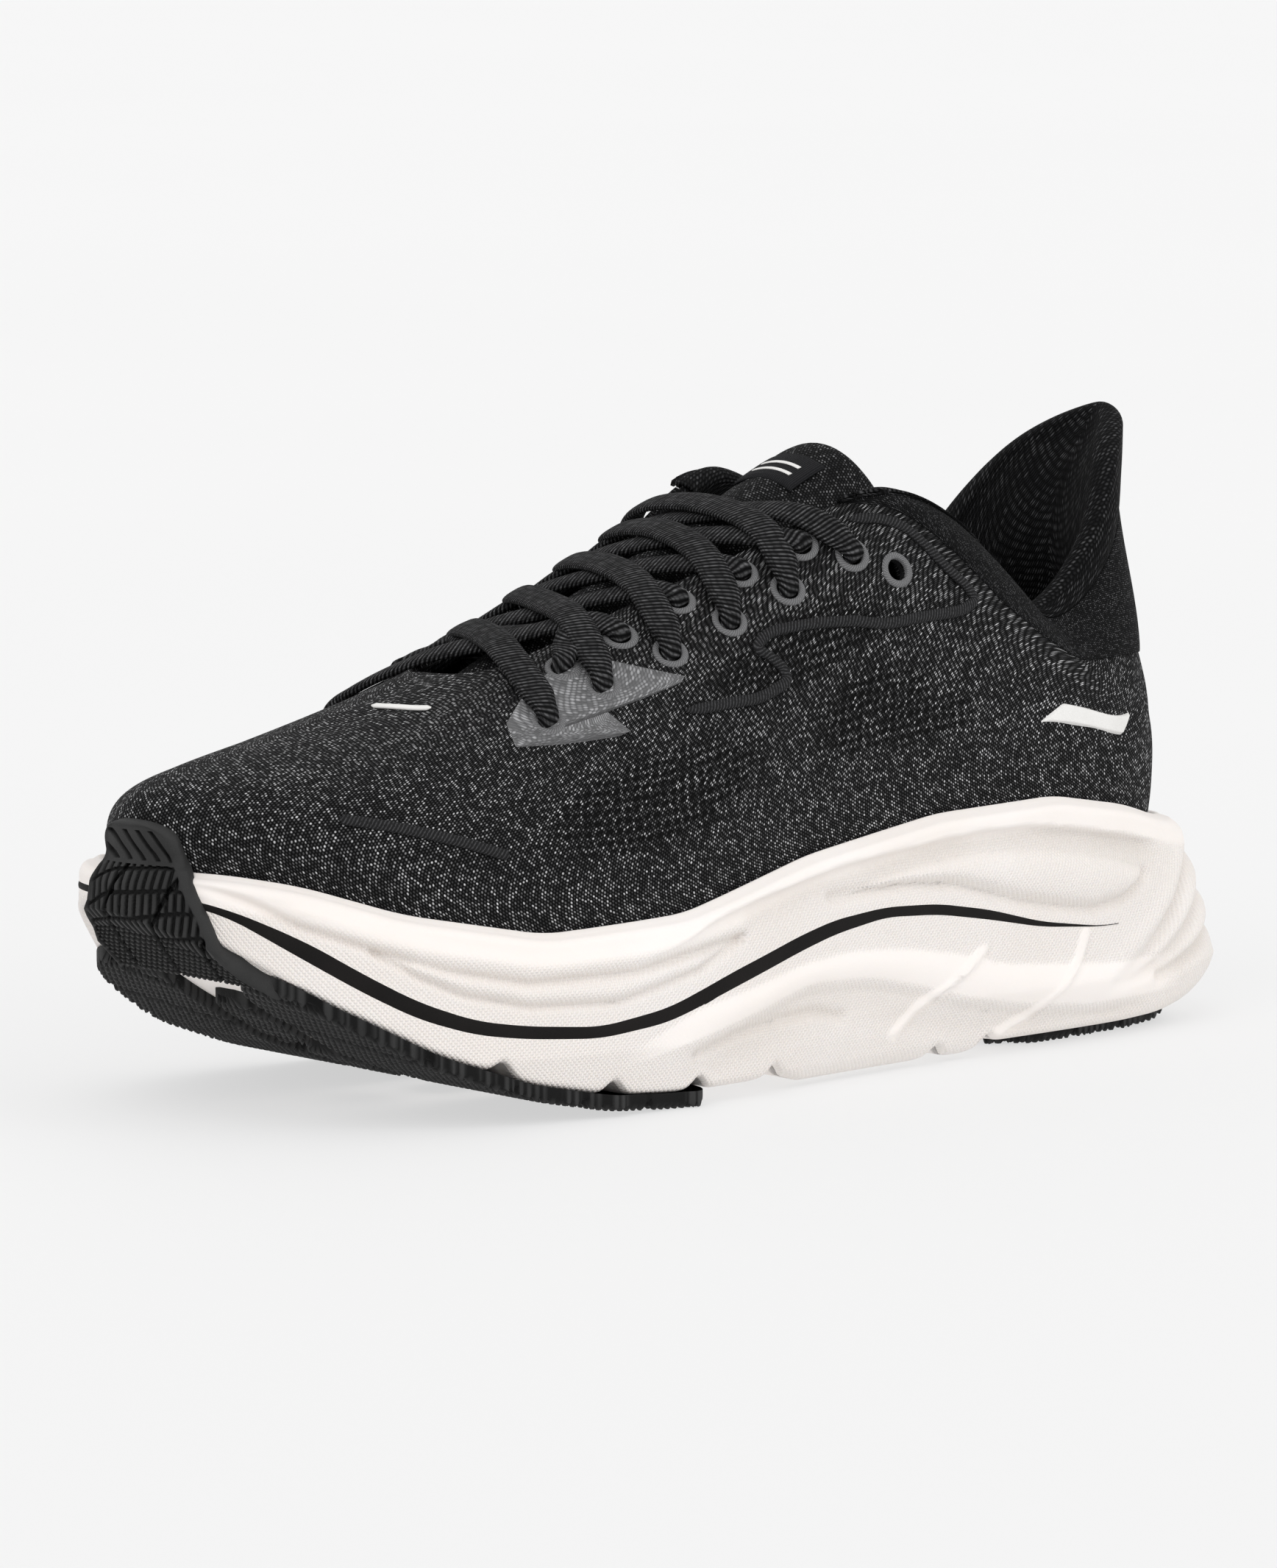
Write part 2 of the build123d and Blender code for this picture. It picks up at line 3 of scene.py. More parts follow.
import bmesh
import bpy
import numpy as np
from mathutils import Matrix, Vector


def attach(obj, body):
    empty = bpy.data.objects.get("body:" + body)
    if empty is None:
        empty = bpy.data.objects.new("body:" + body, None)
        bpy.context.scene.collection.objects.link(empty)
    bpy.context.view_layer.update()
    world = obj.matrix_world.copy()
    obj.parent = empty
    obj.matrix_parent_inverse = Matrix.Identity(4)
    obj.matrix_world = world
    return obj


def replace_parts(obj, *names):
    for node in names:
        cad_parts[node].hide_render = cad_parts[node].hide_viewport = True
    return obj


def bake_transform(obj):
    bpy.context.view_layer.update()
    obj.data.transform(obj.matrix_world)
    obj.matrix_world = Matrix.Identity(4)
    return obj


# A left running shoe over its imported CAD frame. Lengths are millimetres in the last's own
# numbers (toe -X, lateral side -Y, up +Z); metres() turns them into the frame's metres.
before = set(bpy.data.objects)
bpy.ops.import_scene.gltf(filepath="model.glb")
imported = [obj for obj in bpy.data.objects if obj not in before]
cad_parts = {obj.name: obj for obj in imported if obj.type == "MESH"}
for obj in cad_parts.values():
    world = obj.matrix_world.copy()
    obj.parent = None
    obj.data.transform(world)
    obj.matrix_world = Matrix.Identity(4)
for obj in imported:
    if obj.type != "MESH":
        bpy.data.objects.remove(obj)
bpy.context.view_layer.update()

MM = 0.001
CENTRE = np.array((3.33, 0.5, 0.0))
EASE = (-4, -2, 0, 2, 4)  # how far a side line is eased, in millimetres
SEAM_EASE = (-0.004, 0, 0.004)  # and a seam, in shares of the way round the shoe


def metres(points):
    return (np.asarray(points, float) - CENTRE) * MM


def smooth(low, high, x):
    """0 below low, 1 above high, and a soft step between; low may be the larger."""
    f = np.clip((x - low) / (high - low), 0, 1)
    return f * f * (3 - 2 * f)


def along_line(line, x, ease=EASE):
    """Height over x of a line through a few points, eased round its corners."""
    x = np.asarray(x, float)
    return sum(np.interp(x + shift, *zip(*line)) for shift in ease) / len(ease)


def unit(v):
    return v / np.linalg.norm(v, axis=-1, keepdims=True)


# ---------------------------------------------------------------- the last's surfaces

FEATHER = [
    (-145, 8, 57), (-139, -8, 57), (-127.5, -22, 55), (-107, -35.5, 47.5), (-76, -47, 41.5),
    (-38, -51.5, 43), (2, -48, 52), (45, -44, 57.5), (84, -41, 58), (110, -36.5, 53.5), (127, -28, 49),
    (135.5, -14.5, 48),
    (138.5, 0, 48), (135.5, 14.5, 48), (127, 27.5, 49), (110, 35.5, 53.5), (84, 38.5, 58), (45, 38.5, 58.5),
    (2, 40.5, 53), (-38, 47.5, 44), (-76, 52, 42), (-107, 48, 47.5), (-127, 36, 54), (-140, 22, 56.5),
]
LOWER_SIDE = [
    (-153, 8, 83), (-147, -10.5, 82), (-134, -28, 77), (-112, -42, 69), (-79, -52, 62), (-40, -56, 66),
    (2, -52, 76), (46, -48, 84), (86, -44, 84), (114, -38.5, 78), (131, -30, 78), (139.5, -16, 80),
    (142.5, 0, 82), (139.5, 16, 80), (131, 29.5, 78), (114, 37, 78), (86, 41.5, 84), (46, 42.5, 84),
    (2, 45, 76), (-40, 52, 65), (-79, 56, 60), (-112, 52, 67), (-132, 41, 75), (-146, 25, 80),
]
UPPER_SIDE = [
    (-126, 6, 73), (-120, -8, 75), (-106, -20, 78), (-84, -28, 84), (-56, -32, 91), (-24, -36, 100),
    (10, -38, 108), (44, -40, 114), (80, -38, 102), (102, -34, 88), (118, -28, 94), (123.5, -17, 100),
    (126, 0, 100), (123.5, 17, 100), (118, 27, 94), (102, 33, 88), (80, 36, 102), (44, 37, 114),
    (10, 36, 106), (-24, 35, 97), (-56, 32, 88), (-84, 30, 80), (-106, 24, 75), (-120, 16, 73),
]
TOP_EDGE = [
    (-66, 4, 95), (-65.5, -2, 95), (-62, -8.5, 95.5), (-52, -14, 98.5), (-34, -17, 105), (-10, -19, 113),
    (16, -23.5, 122.5), (40, -29.5, 130), (68, -29.5, 118), (91, -26.5, 99.5), (112, -25.5, 115),
    (128, -15, 133.5),
    (140, 0, 140), (129, 15, 134), (113, 26, 116), (91, 28, 100), (68, 31, 118), (40, 31, 130),
    (16, 25, 121), (-10, 20.5, 111), (-34, 18.5, 102), (-52, 16, 96), (-62, 12, 94.5), (-65.5, 8.5, 94.5),
]
WIDEST = [
    (-151.5, 8), (-145, -8), (-132.5, -25), (-112, -40), (-80, -52), (-40, -57), (2, -53.5), (45, -49),
    (85, -47), (118, -43.5), (140, -36), (154, -20), (159, 0), (154, 20), (140, 35), (118, 42),
    (85, 44), (45, 43), (2, 45), (-40, 53), (-80, 58), (-111, 54), (-133, 42.5), (-149, 26.5),
]
RIM_LINE = [
    (-158, 56.4), (-140, 56.4), (-127, 53.9), (-107, 47), (-76, 41.1), (-38, 42.8), (2, 51.8), (45, 57.2),
    (84, 57.7), (110, 53.2), (127, 48.7), (140, 47.4), (166, 44),
]
UNDERSIDE = [
    (-160, 58), (-150, 49), (-140, 42), (-124, 29.5), (-102, 16.8), (-80, 8.8), (-60, 4.8), (-40, 3.4),
    (120, 3.4), (134, 5.0), (146, 8.8), (156, 14.5), (168, 24),
]
FOOTBED_LINE = [
    (-158, 49.5), (-140, 46), (-127, 41), (-107, 35), (-76, 30.5), (-38, 30.5), (2, 34), (45, 37.5),
    (84, 38.6), (110, 38.6), (140, 38.6), (166, 38.6),
]
LINING_DEPTH = (2.9, 3.6)


def ring(points):
    """A smooth closed curve through the points, as a function of the fraction of the way round."""
    through = np.array(points, float)
    count = len(through)
    step = np.eye(count)
    blend = 4 * step + np.roll(step, 1, 0) + np.roll(step, -1, 0)
    control = np.linalg.solve(blend / 6, through)

    def at(t):
        place = np.asarray(t, float) % 1.0 * count
        i = np.floor(place).astype(int)
        f = (place - i)[..., None]
        weights = ((1 - f) ** 3, 3 * f**3 - 6 * f**2 + 4, 1 + 3 * f + 3 * f**2 - 3 * f**3, f**3)
        return sum(w * control[(i + k - 1) % count] for k, w in enumerate(weights)) / 6

    return at


RAILS = [ring(points) for points in (FEATHER, LOWER_SIDE, UPPER_SIDE, TOP_EDGE)]
WIDEST_RAIL = ring(WIDEST)


def skin(t, h):
    """The outer face of the upper: t runs round the shoe, h from the feather line to the top edge."""
    t, h = np.broadcast_arrays(np.asarray(t, float), np.asarray(h, float))
    a, b, c, d = (rail(t) for rail in RAILS)
    k = np.maximum(h, 0)[..., None]
    face = (1 - k) ** 3 * a + 3 * k * (1 - k) ** 2 * b + 3 * k * k * (1 - k) * c + k**3 * d
    skirt = np.minimum(h, 0) * (a[..., 2] - along_line(FOOTBED_LINE, a[..., 0]))
    face[..., 2] += skirt
    return face


def outward(t, h):
    t, h = np.asarray(t, float), np.asarray(h, float)
    step = 1e-3
    along = skin(t + step, h) - skin(t - step, h)
    up = skin(t, h + step) - skin(t, h - step)
    return unit(np.cross(along, up))


def inside(t, h, depth):
    return skin(t, h) - np.asarray(depth)[..., None] * outward(t, h)


def plan_normal(outline, t):
    along = outline(t + 1e-3) - outline(t - 1e-3)
    along = unit(along[..., :2])
    return np.stack([along[..., 1], -along[..., 0]], -1)


def rim_outline(t):
    heel = np.where(abs(t - 0.5) < 0.1, np.cos((t - 0.5) * 5 * pi), 0)
    toe = (np.asarray(t) + 0.5) % 1.0 - 0.45
    ledge = 4 + 4 * np.maximum(0, heel) + 3.2 * np.exp(-((toe / 0.032) ** 2))
    return RAILS[0](t)[..., :2] + ledge[..., None] * plan_normal(RAILS[0], t)


def foam_wall(t, z, out=0.0):
    """The foam's side wall at height z, moved outward by out."""
    share = np.interp(z, (15, 32, 48, 64), (0, 0.45, 0.95, 1.1))[..., None]
    tuck = np.interp(z, (-4, 5, 15), (-8, -2.5, 0))

    def outline(s):
        return (1 - share) * WIDEST_RAIL(s)[..., :2] + share * rim_outline(s)

    plan = outline(t) + (tuck + out)[..., None] * plan_normal(outline, t)
    return np.concatenate([plan, z[..., None]], -1)


# ---------------------------------------------------------------- mesh helpers

def grid_piece(name, points, material, body="shoe", weave=None, masks=None, keep=None):
    """A mesh of quads over a grid of points; weave gives its cloth coordinates, in millimetres."""
    rows, cols = points.shape[:2]
    index = np.arange(rows * cols).reshape(rows, cols)
    corners = (index[:-1, :-1], index[1:, :-1], index[1:, 1:], index[:-1, 1:])
    faces = np.stack(corners, -1).reshape(-1, 4)
    if keep is not None:
        faces = faces[keep.reshape(-1)]
    points = points.reshape(-1, 3)
    mesh = bpy.data.meshes.new(name)
    mesh.vertices.add(len(points))
    mesh.vertices.foreach_set("co", metres(points).astype(np.float32).ravel())
    mesh.loops.add(faces.size)
    mesh.loops.foreach_set("vertex_index", faces.astype(np.int32).ravel())
    mesh.polygons.add(len(faces))
    mesh.polygons.foreach_set("loop_start", np.arange(0, faces.size, faces.shape[1], dtype=np.int32))
    mesh.update(calc_edges=True)
    mesh.shade_smooth()
    if weave is not None:
        flat = np.zeros((len(points), 3), np.float32)
        flat[:, :2] = weave.reshape(-1, 2)
        mesh.attributes.new("weave", "FLOAT_VECTOR", "POINT").data.foreach_set("vector", flat.ravel())
    for mask, values in (masks or {}).items():
        layer = mesh.attributes.new(mask, "FLOAT", "POINT")
        layer.data.foreach_set("value", np.asarray(values, np.float32).ravel())
    mesh.materials.append(material)
    if material.name.startswith("rubber"):
        mesh.set_sharp_from_angle(angle=radians(38))
    piece = bpy.data.objects.new(name, mesh)
    bpy.context.collection.objects.link(piece)
    if body:
        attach(piece, body)
    return piece


def shell_piece(name, points, material, body="shoe", weave=None, masks=None, keep=None):
    """A grid piece whose columns run round the shoe, turned so that its faces look outward."""
    weave = (walked(points) if weave is None else weave).transpose(1, 0, 2)
    masks = {mask: values.T for mask, values in (masks or {}).items()}
    keep = None if keep is None else keep.T
    return grid_piece(name, points.transpose(1, 0, 2), material, body, weave, masks, keep)


def walked(points):
    """Cloth coordinates of a grid: distance walked along its rows and along its columns."""
    down = np.linalg.norm(np.diff(points, axis=0), axis=-1)
    over = np.linalg.norm(np.diff(points, axis=1), axis=-1)
    v = np.pad(np.cumsum(down, 0), ((1, 0), (0, 0)))
    u = np.pad(np.cumsum(over, 1), ((0, 0), (1, 0)))
    u -= u[:, u.shape[1] // 2][:, None]
    return np.stack([u, v], -1)


def thicken(piece, thickness):
    """Gives a cloth its thickness, inward from its outer face."""
    solid = piece.modifiers.new("thickness", "SOLIDIFY")
    solid.thickness = thickness * MM
    solid.offset = -1


def oval(count, power=1.0):
    """Points round a unit oval section; a power under 1 squares it."""
    turn = np.linspace(0, 2 * pi, count, endpoint=False)
    shape = np.stack([np.cos(turn), np.sin(turn)], -1)
    return np.sign(shape) * abs(shape) ** power


def tube_piece(name, path, width_way, half_width, half_thick, material, body="shoe", sides=14, power=0.8):
    """A sweep of an oval section along a path; width_way points along the section's width."""
    along = unit(np.gradient(path, axis=0))
    side = width_way - (width_way * along).sum(-1, keepdims=True) * along
    side = unit(side)
    up = np.cross(along, side)
    section = oval(sides, power)
    half_width = np.broadcast_to(half_width, len(path))[:, None, None]
    half_thick = np.broadcast_to(half_thick, len(path))[:, None, None]
    wide = section[None, :, :1] * half_width * side[:, None]
    tall = section[None, :, 1:] * half_thick * up[:, None]
    points = path[:, None] + (wide + tall)
    length = np.concatenate([[0], np.cumsum(np.linalg.norm(np.diff(path, axis=0), axis=-1))])
    around = np.linspace(0, 1, sides + 1) * 2 * (half_width.mean() + half_thick.mean())
    points = np.concatenate([points, points[:, :1]], 1)
    weave = np.stack(np.broadcast_arrays(length[:, None], around[None]), -1)
    piece = grid_piece(name, points, material, body, weave=weave)
    caps(piece)
    return piece


def caps(piece):
    """Closes the open ends of a piece."""
    mesh = bmesh.new()
    mesh.from_mesh(piece.data)
    bmesh.ops.remove_doubles(mesh, verts=mesh.verts, dist=1e-6)
    edges = [e for e in mesh.edges if e.is_boundary]
    bmesh.ops.holes_fill(mesh, edges=edges, sides=0)
    mesh.to_mesh(piece.data)
    mesh.free()


def through(points, count):
    """A smooth open curve through the points, evenly divided."""
    points = np.array(points, float)
    gaps = np.linalg.norm(np.diff(points, axis=0), axis=-1) ** 0.5
    knots = np.concatenate([[0], np.cumsum(gaps)])
    slopes = np.gradient(points, knots, axis=0)
    place = np.linspace(0, knots[-1], count * 4)
    i = np.clip(np.searchsorted(knots, place, side="right") - 1, 0, len(points) - 2)
    span = (knots[i + 1] - knots[i])[:, None]
    f = (place - knots[i])[:, None] / span
    curve = (
        (2 * f**3 - 3 * f**2 + 1) * points[i] + (f**3 - 2 * f**2 + f) * span * slopes[i]
        + (3 * f**2 - 2 * f**3) * points[i + 1] + (f**3 - f**2) * span * slopes[i + 1]
    )
    walk = np.concatenate([[0], np.cumsum(np.linalg.norm(np.diff(curve, axis=0), axis=-1))])
    even = np.linspace(0, walk[-1], count)
    return np.stack([np.interp(even, walk, curve[:, k]) for k in range(points.shape[1])], -1)


# ---------------------------------------------------------------- materials

class Shade:
    """A node material; its uniform values are set on the shader's own sockets."""

    def __init__(self, name, **values):
        self.material = bpy.data.materials.new(name)
        self.material.use_nodes = True
        self.tree = self.material.node_tree
        self.shader = self.tree.nodes["Principled BSDF"]
        for socket, value in values.items():
            self.shader.inputs[socket.replace("_", " ")].default_value = value

    def node(self, kind, inputs=(), out=0, **settings):
        node = self.tree.nodes.new(kind)
        for key, value in settings.items():
            setattr(node, key, value)
        for socket, value in dict(inputs).items():
            self.put(node.inputs[socket], value)
        return node.outputs[out]

    def put(self, socket, value):
        if isinstance(value, bpy.types.NodeSocket):
            self.tree.links.new(value, socket)
        else:
            socket.default_value = value

    def math(self, operation, *values):
        return self.node("ShaderNodeMath", enumerate(values), operation=operation)

    def plus(self, *values):
        return self.math("ADD", *values)

    def minus(self, *values):
        return self.math("SUBTRACT", *values)

    def times(self, *values):
        return self.math("MULTIPLY", *values)

    def split(self, vector):
        """The first two parts of a vector."""
        node = self.tree.nodes.new("ShaderNodeSeparateXYZ")
        self.put(node.inputs[0], vector)
        return node.outputs[0], node.outputs[1]

    def attribute(self, name, out="Vector"):
        return self.node("ShaderNodeAttribute", out=out, attribute_name=name)

    def place(self):
        """Position in the object, in millimetres."""
        here = self.node("ShaderNodeTexCoord", out="Object")
        return self.node("ShaderNodeVectorMath", {0: here, 3: 1000.0}, operation="SCALE")

    def weave(self):
        return self.attribute("weave")

    def noise(self, vector, scale, detail=3.0, out="Fac", rough=0.5):
        values = {"Vector": vector, "Scale": scale, "Detail": detail, "Roughness": rough}
        return self.node("ShaderNodeTexNoise", values, out=out)

    def span(self, value, low, high, to_low=0.0, to_high=1.0):
        values = {0: value, 1: low, 2: high, 3: to_low, 4: to_high}
        return self.node("ShaderNodeMapRange", values)

    def mix(self, share, one, two):
        node = self.tree.nodes.new("ShaderNodeMix")
        node.data_type = "RGBA"
        self.put(node.inputs[0], share)
        for socket, colour in ((node.inputs[6], one), (node.inputs[7], two)):
            self.put(socket, (*colour, 1) if isinstance(colour, tuple) else colour)
        return node.outputs[2]

    def finish(self, colour=None, rough=None, height=None, bump=0.3):
        if colour is not None:
            self.put(self.shader.inputs["Base Color"], colour)
        if rough is not None:
            self.put(self.shader.inputs["Roughness"], rough)
        if height is not None:
            values = {"Height": height, "Distance": bump * MM}
            self.put(self.shader.inputs["Normal"], self.node("ShaderNodeBump", values))
        return self.material

    def bricks(self, u, v, slant=0.0):
        """Column and row of each cell of a staggered grid, and its squared distance from the middle."""
        row = self.math("FLOOR", v)
        u = self.plus(u, self.times(self.math("MODULO", row, 2.0), 0.5))
        u = self.plus(u, self.times(self.math("FRACT", v), slant))
        across = self.minus(self.math("FRACT", u), 0.5)
        down = self.minus(self.math("FRACT", v), 0.5)
        reach = self.plus(self.times(across, across), self.times(down, down))
        return self.math("FLOOR", u), row, reach

    def stitches(self, pitch_u, pitch_v, slant=0.0, turn=0.0):
        """Height and a random number for each stitch of a knit; rows are staggered."""
        spin = {0: self.weave(), 3: -radians(turn)}
        u, v = self.split(self.node("ShaderNodeVectorRotate", spin, rotation_type="Z_AXIS"))
        wobble = self.times(self.noise(self.weave(), 0.25, 1.0), 1.2)
        v = self.plus(self.math("DIVIDE", v, pitch_v), wobble)
        column, row, reach = self.bricks(self.math("DIVIDE", u, pitch_u), v, slant)
        height = self.math("MAXIMUM", self.minus(1.0, self.times(reach, 3.6)), 0.0)
        cell = {"Vector": self.node("ShaderNodeCombineXYZ", {0: column, 1: row})}
        chance = self.node("ShaderNodeTexWhiteNoise", cell, out="Value", noise_dimensions="3D")
        return height, chance


def grey(level):
    return (level, level, level)


def knit_material(name, pitch, dark, fleck, share, slant=0.35, bump=0.35, pits=False, turn=0.0):
    """A dark knit with lighter flecks where some stitches catch the light, and painted shade between its
    stitches and in any vent holes.
    """
    shade = Shade(name, Roughness=0.85, Specular_IOR_Level=0.12)
    height, chance = shade.stitches(pitch, pitch * 0.8, slant, turn)
    drift = shade.noise(shade.weave(), 0.12, 2.0)
    glint = shade.span(shade.math("POWER", chance, 1.0 / share), 0.0, 1.0, 0.05, 1.0)
    glint = shade.times(glint, shade.span(drift, 0.25, 0.75, 0.75, 1.25))
    light = shade.times(shade.math("POWER", height, 2.8), glint)
    # painted shade: the colour darkens in the hollows between the stitches
    valley_shade = shade.mix(height, tuple(c * 0.35 for c in dark), dark)
    colour = shade.mix(light, valley_shade, fleck)
    if pits:
        hole = pit_mask(shade)
        # painted shade: the vent holes are not cut but painted near black, as the shade inside a hole
        colour = shade.mix(hole, colour, grey(0.001))
        height = shade.minus(height, shade.times(hole, 3.0))
    return shade.finish(colour, height=height, bump=bump)


def pit_mask(shade):
    """Rows of small ventilation holes, where the piece's vents mask is set."""
    u, v = shade.split(shade.weave())
    _, _, reach = shade.bricks(shade.math("DIVIDE", u, 2.8), shade.math("DIVIDE", v, 2.4))
    hole = shade.span(reach, 0.13, 0.07, 0.0, 0.92)
    return shade.times(hole, shade.attribute("vents", "Fac"))


def foam_material():
    """Moulded foam: warm white, a fine diamond emboss and a little unevenness, with painted shade over the
    emboss and in the sculpted creases.
    """
    shade = Shade("foam_white", Roughness=0.62, Specular_IOR_Level=0.35, Subsurface_Weight=0.06)
    shade.shader.inputs["Subsurface Radius"].default_value = (0.004, 0.003, 0.002)
    u, v = shade.split(shade.weave())
    diagonals = (shade.plus(u, v), shade.minus(u, v))
    waves = [shade.math("ABSOLUTE", shade.math("SINE", shade.times(d, 2.6))) for d in diagonals]
    emboss = shade.times(shade.times(*waves), shade.attribute("emboss", "Fac"))
    grain = shade.noise(shade.place(), 2.5, 4.0)
    height = shade.plus(emboss, shade.times(grain, 0.25))
    tone = shade.noise(shade.place(), 0.03, 2.0)
    colour = shade.mix(shade.span(tone, 0.3, 0.7), (0.868, 0.815, 0.775), (0.895, 0.85, 0.82))
    # painted shade: the diamond emboss also darkens the foam's colour, as the shade of its relief
    colour = shade.mix(shade.times(emboss, 0.12), colour, (0.76, 0.71, 0.65))
    # painted shade: the colour darkens in the sculpted creases, where shade falls
    crease_shade = shade.times(shade.attribute("crease_shade", "Fac"), 0.28)
    colour = shade.mix(crease_shade, colour, (0.60, 0.54, 0.48))
    dirt = shade.times(shade.span(grain, 0.62, 0.8), 0.05)
    colour = shade.mix(dirt, colour, (0.45, 0.40, 0.34))
    return shade.finish(colour, height=height, bump=0.22)


def rubber_material():
    """Moulded rubber with a fine grain and scuffed high spots; its grooves are painted near black as shade.
    """
    shade = Shade("rubber_black", Roughness=0.5, Specular_IOR_Level=0.14)
    grain = shade.noise(shade.place(), 3.0, 5.0, rough=0.65)
    patches = shade.noise(shade.place(), 0.09, 3.0)
    colour = shade.mix(shade.span(patches, 0.35, 0.7), grey(0.025), grey(0.0425))
    scuff = shade.times(shade.span(grain, 0.6, 0.75), 0.35)
    colour = shade.mix(scuff, colour, grey(0.08))
    # painted shade: the grooves are coloured near black, as the shade that falls in them
    colour = shade.mix(shade.attribute("groove", "Fac"), colour, grey(0.0012))
    rough = shade.span(patches, 0.3, 0.7, 0.48, 0.68)
    return shade.finish(colour, rough, grain, bump=0.08)


def ribs(shade, pitch, slant):
    """Slanting ribs along a piece, from 0 to 1."""
    u, v = shade.split(shade.weave())
    place = shade.plus(u, shade.times(v, slant))
    return shade.span(shade.math("SINE", shade.times(place, 2 * pi / pitch)), -1.0, 1.0)


def ribbed_material(name, dark, light, pitch=0.9, slant=1.0, bump=0.25):
    """Thread or braid: slanting ribs, with single fibres catching the light."""
    shade = Shade(name, Roughness=0.8, Specular_IOR_Level=0.1)
    rib = ribs(shade, pitch, slant)
    fibre = shade.noise(shade.weave(), 3.5, 3.0)
    height = shade.plus(rib, shade.times(fibre, 0.35))
    lift = shade.times(shade.math("POWER", rib, 1.5), shade.span(fibre, 0.3, 0.7))
    return shade.finish(shade.mix(lift, dark, light), height=height, bump=bump)


def lace_material():
    """A woven lace: ribs across it, and single stitches that catch the light."""
    shade = Shade("lace_black", Roughness=0.85, Specular_IOR_Level=0.1)
    stitch, chance = shade.stitches(0.75, 0.6, 0.4)
    rib = ribs(shade, 1.1, 0.6)
    light = shade.times(shade.span(chance, 0.0, 1.0, 0.25, 1.0), shade.math("POWER", rib, 1.6))
    light = shade.times(light, shade.span(stitch, 0.0, 1.0, 0.4, 1.0))
    colour = shade.mix(light, (0.0014, 0.0014, 0.0016), (0.15, 0.15, 0.154))
    height = shade.plus(rib, shade.times(stitch, 0.4))
    return shade.finish(colour, height=height, bump=0.3)


def smooth_material(name, dark, light, rough=0.5, bump=0.06, **values):
    """A plain moulded or pressed finish with fine grain and slow colour drift."""
    shade = Shade(name, Roughness=rough, **values)
    grain = shade.noise(shade.place(), 3.2, 4.0)
    drift = shade.noise(shade.place(), 0.08, 2.0)
    mixed = shade.plus(shade.times(grain, 0.4), shade.times(drift, 0.6))
    colour = shade.mix(shade.span(mixed, 0.35, 0.65), dark, light)
    return shade.finish(colour, height=grain, bump=bump)


def film_material():
    """A thin bonded film: the knit shows through it as a pressed weave, with painted highlights on its
    raised stitches.
    """
    shade = Shade("film_grey", Roughness=0.42, Specular_IOR_Level=0.5)
    height, chance = shade.stitches(1.1, 0.9, 0.35)
    # painted highlight: raised stitches are lighter at random, as if they caught the light
    colour = shade.mix(shade.times(height, chance), (0.08, 0.08, 0.082), (0.38, 0.38, 0.39))
    return shade.finish(colour, height=height, bump=0.12)


YARN = (0.004, 0.004, 0.0045)
M = {
    "foam": foam_material(),
    "stripe": smooth_material(
        "stripe_black", (0.005, 0.0042, 0.004), (0.009, 0.0075, 0.007), 0.7, Specular_IOR_Level=0.15
    ),
    "rubber": rubber_material(),
    "knit": knit_material(
        "knit_black", 0.86, (0.003, 0.003, 0.0034), (0.82, 0.82, 0.83), 0.26, 0.2, pits=True, turn=-33
    ),
    "band": knit_material("knit_band", 0.6, YARN, (0.16, 0.16, 0.165), 0.35, bump=0.2),
    "lining": knit_material("lining_black", 1.3, YARN, (0.09, 0.09, 0.093), 0.45, 0.0, 0.5),
    "tongue": knit_material("knit_tongue", 0.9, YARN, (0.26, 0.26, 0.265), 0.3, 0.2, 0.3),
    "lace": lace_material(),
    "thread": ribbed_material("thread_grey", (0.012, 0.012, 0.0125), (0.085, 0.085, 0.088), 0.85, 0.9),
    "ring": ribbed_material("ring_grey", (0.13, 0.13, 0.133), (0.28, 0.28, 0.285), 0.7, 0.9, 0.12),
    "film": film_material(),
    "mark": smooth_material("mark_white", (0.72, 0.71, 0.69), (0.82, 0.81, 0.79), 0.5),
    "label": ribbed_material("label_black", (0.008, 0.008, 0.009), (0.03, 0.03, 0.032), 0.6, 0.0, 0.1),
    "tip": smooth_material("lace_tip", (0.010, 0.010, 0.011), (0.03, 0.03, 0.032), 0.3),
    "board": smooth_material("board_grey", (0.20, 0.20, 0.19), (0.30, 0.29, 0.28), 0.8),
    "stiff": smooth_material("stiffener", (0.012, 0.012, 0.013), (0.03, 0.03, 0.032), 0.7),
    "insole": smooth_material("insole_foam", (0.03, 0.03, 0.033), (0.055, 0.055, 0.06), 0.85, bump=0.15),
    "cloth": knit_material("insole_cloth", 0.8, (0.014, 0.014, 0.015), (0.06, 0.06, 0.063), 0.5, 0.0, 0.15),
}


# ---------------------------------------------------------------- camera, light and floor

def camera():
    azimuth, elevation, distance = radians(-40.5), radians(7.4), 2200
    target = np.array((-6, 0, 64.6))  # the middle of the picture
    way = np.array((sin(azimuth) * cos(elevation), -cos(azimuth) * cos(elevation), sin(elevation)))
    data = bpy.data.cameras.new("camera")
    data.sensor_fit = "VERTICAL"
    data.sensor_height = 36
    data.lens = 221.9
    data.clip_end = 100
    eye = bpy.data.objects.new("camera", data)
    eye.location = metres(target + distance * way)
    eye.rotation_euler = Vector(-way).to_track_quat("-Z", "Y").to_euler()
    bpy.context.collection.objects.link(eye)
    bpy.context.scene.camera = eye


def softbox(name, azimuth, elevation, strength, spread):
    """A broad, even light from far away; the spread keeps its shadows soft."""
    data = bpy.data.lights.new(name, "SUN")
    data.energy = strength
    data.angle = radians(spread)
    lamp = bpy.data.objects.new(name, data)
    a, e = radians(azimuth), radians(elevation)
    way = Vector((sin(a) * cos(e), -cos(a) * cos(e), sin(e)))
    lamp.location = 2 * way
    lamp.rotation_euler = way.to_track_quat("Z", "Y").to_euler()
    bpy.context.collection.objects.link(lamp)


FLOOR_HALF = 20e3
FLOOR_FLAT = 5e3  # the floor is flat this far round the shoe, and then curves up
FLOOR_CURVE = 1.3e-5


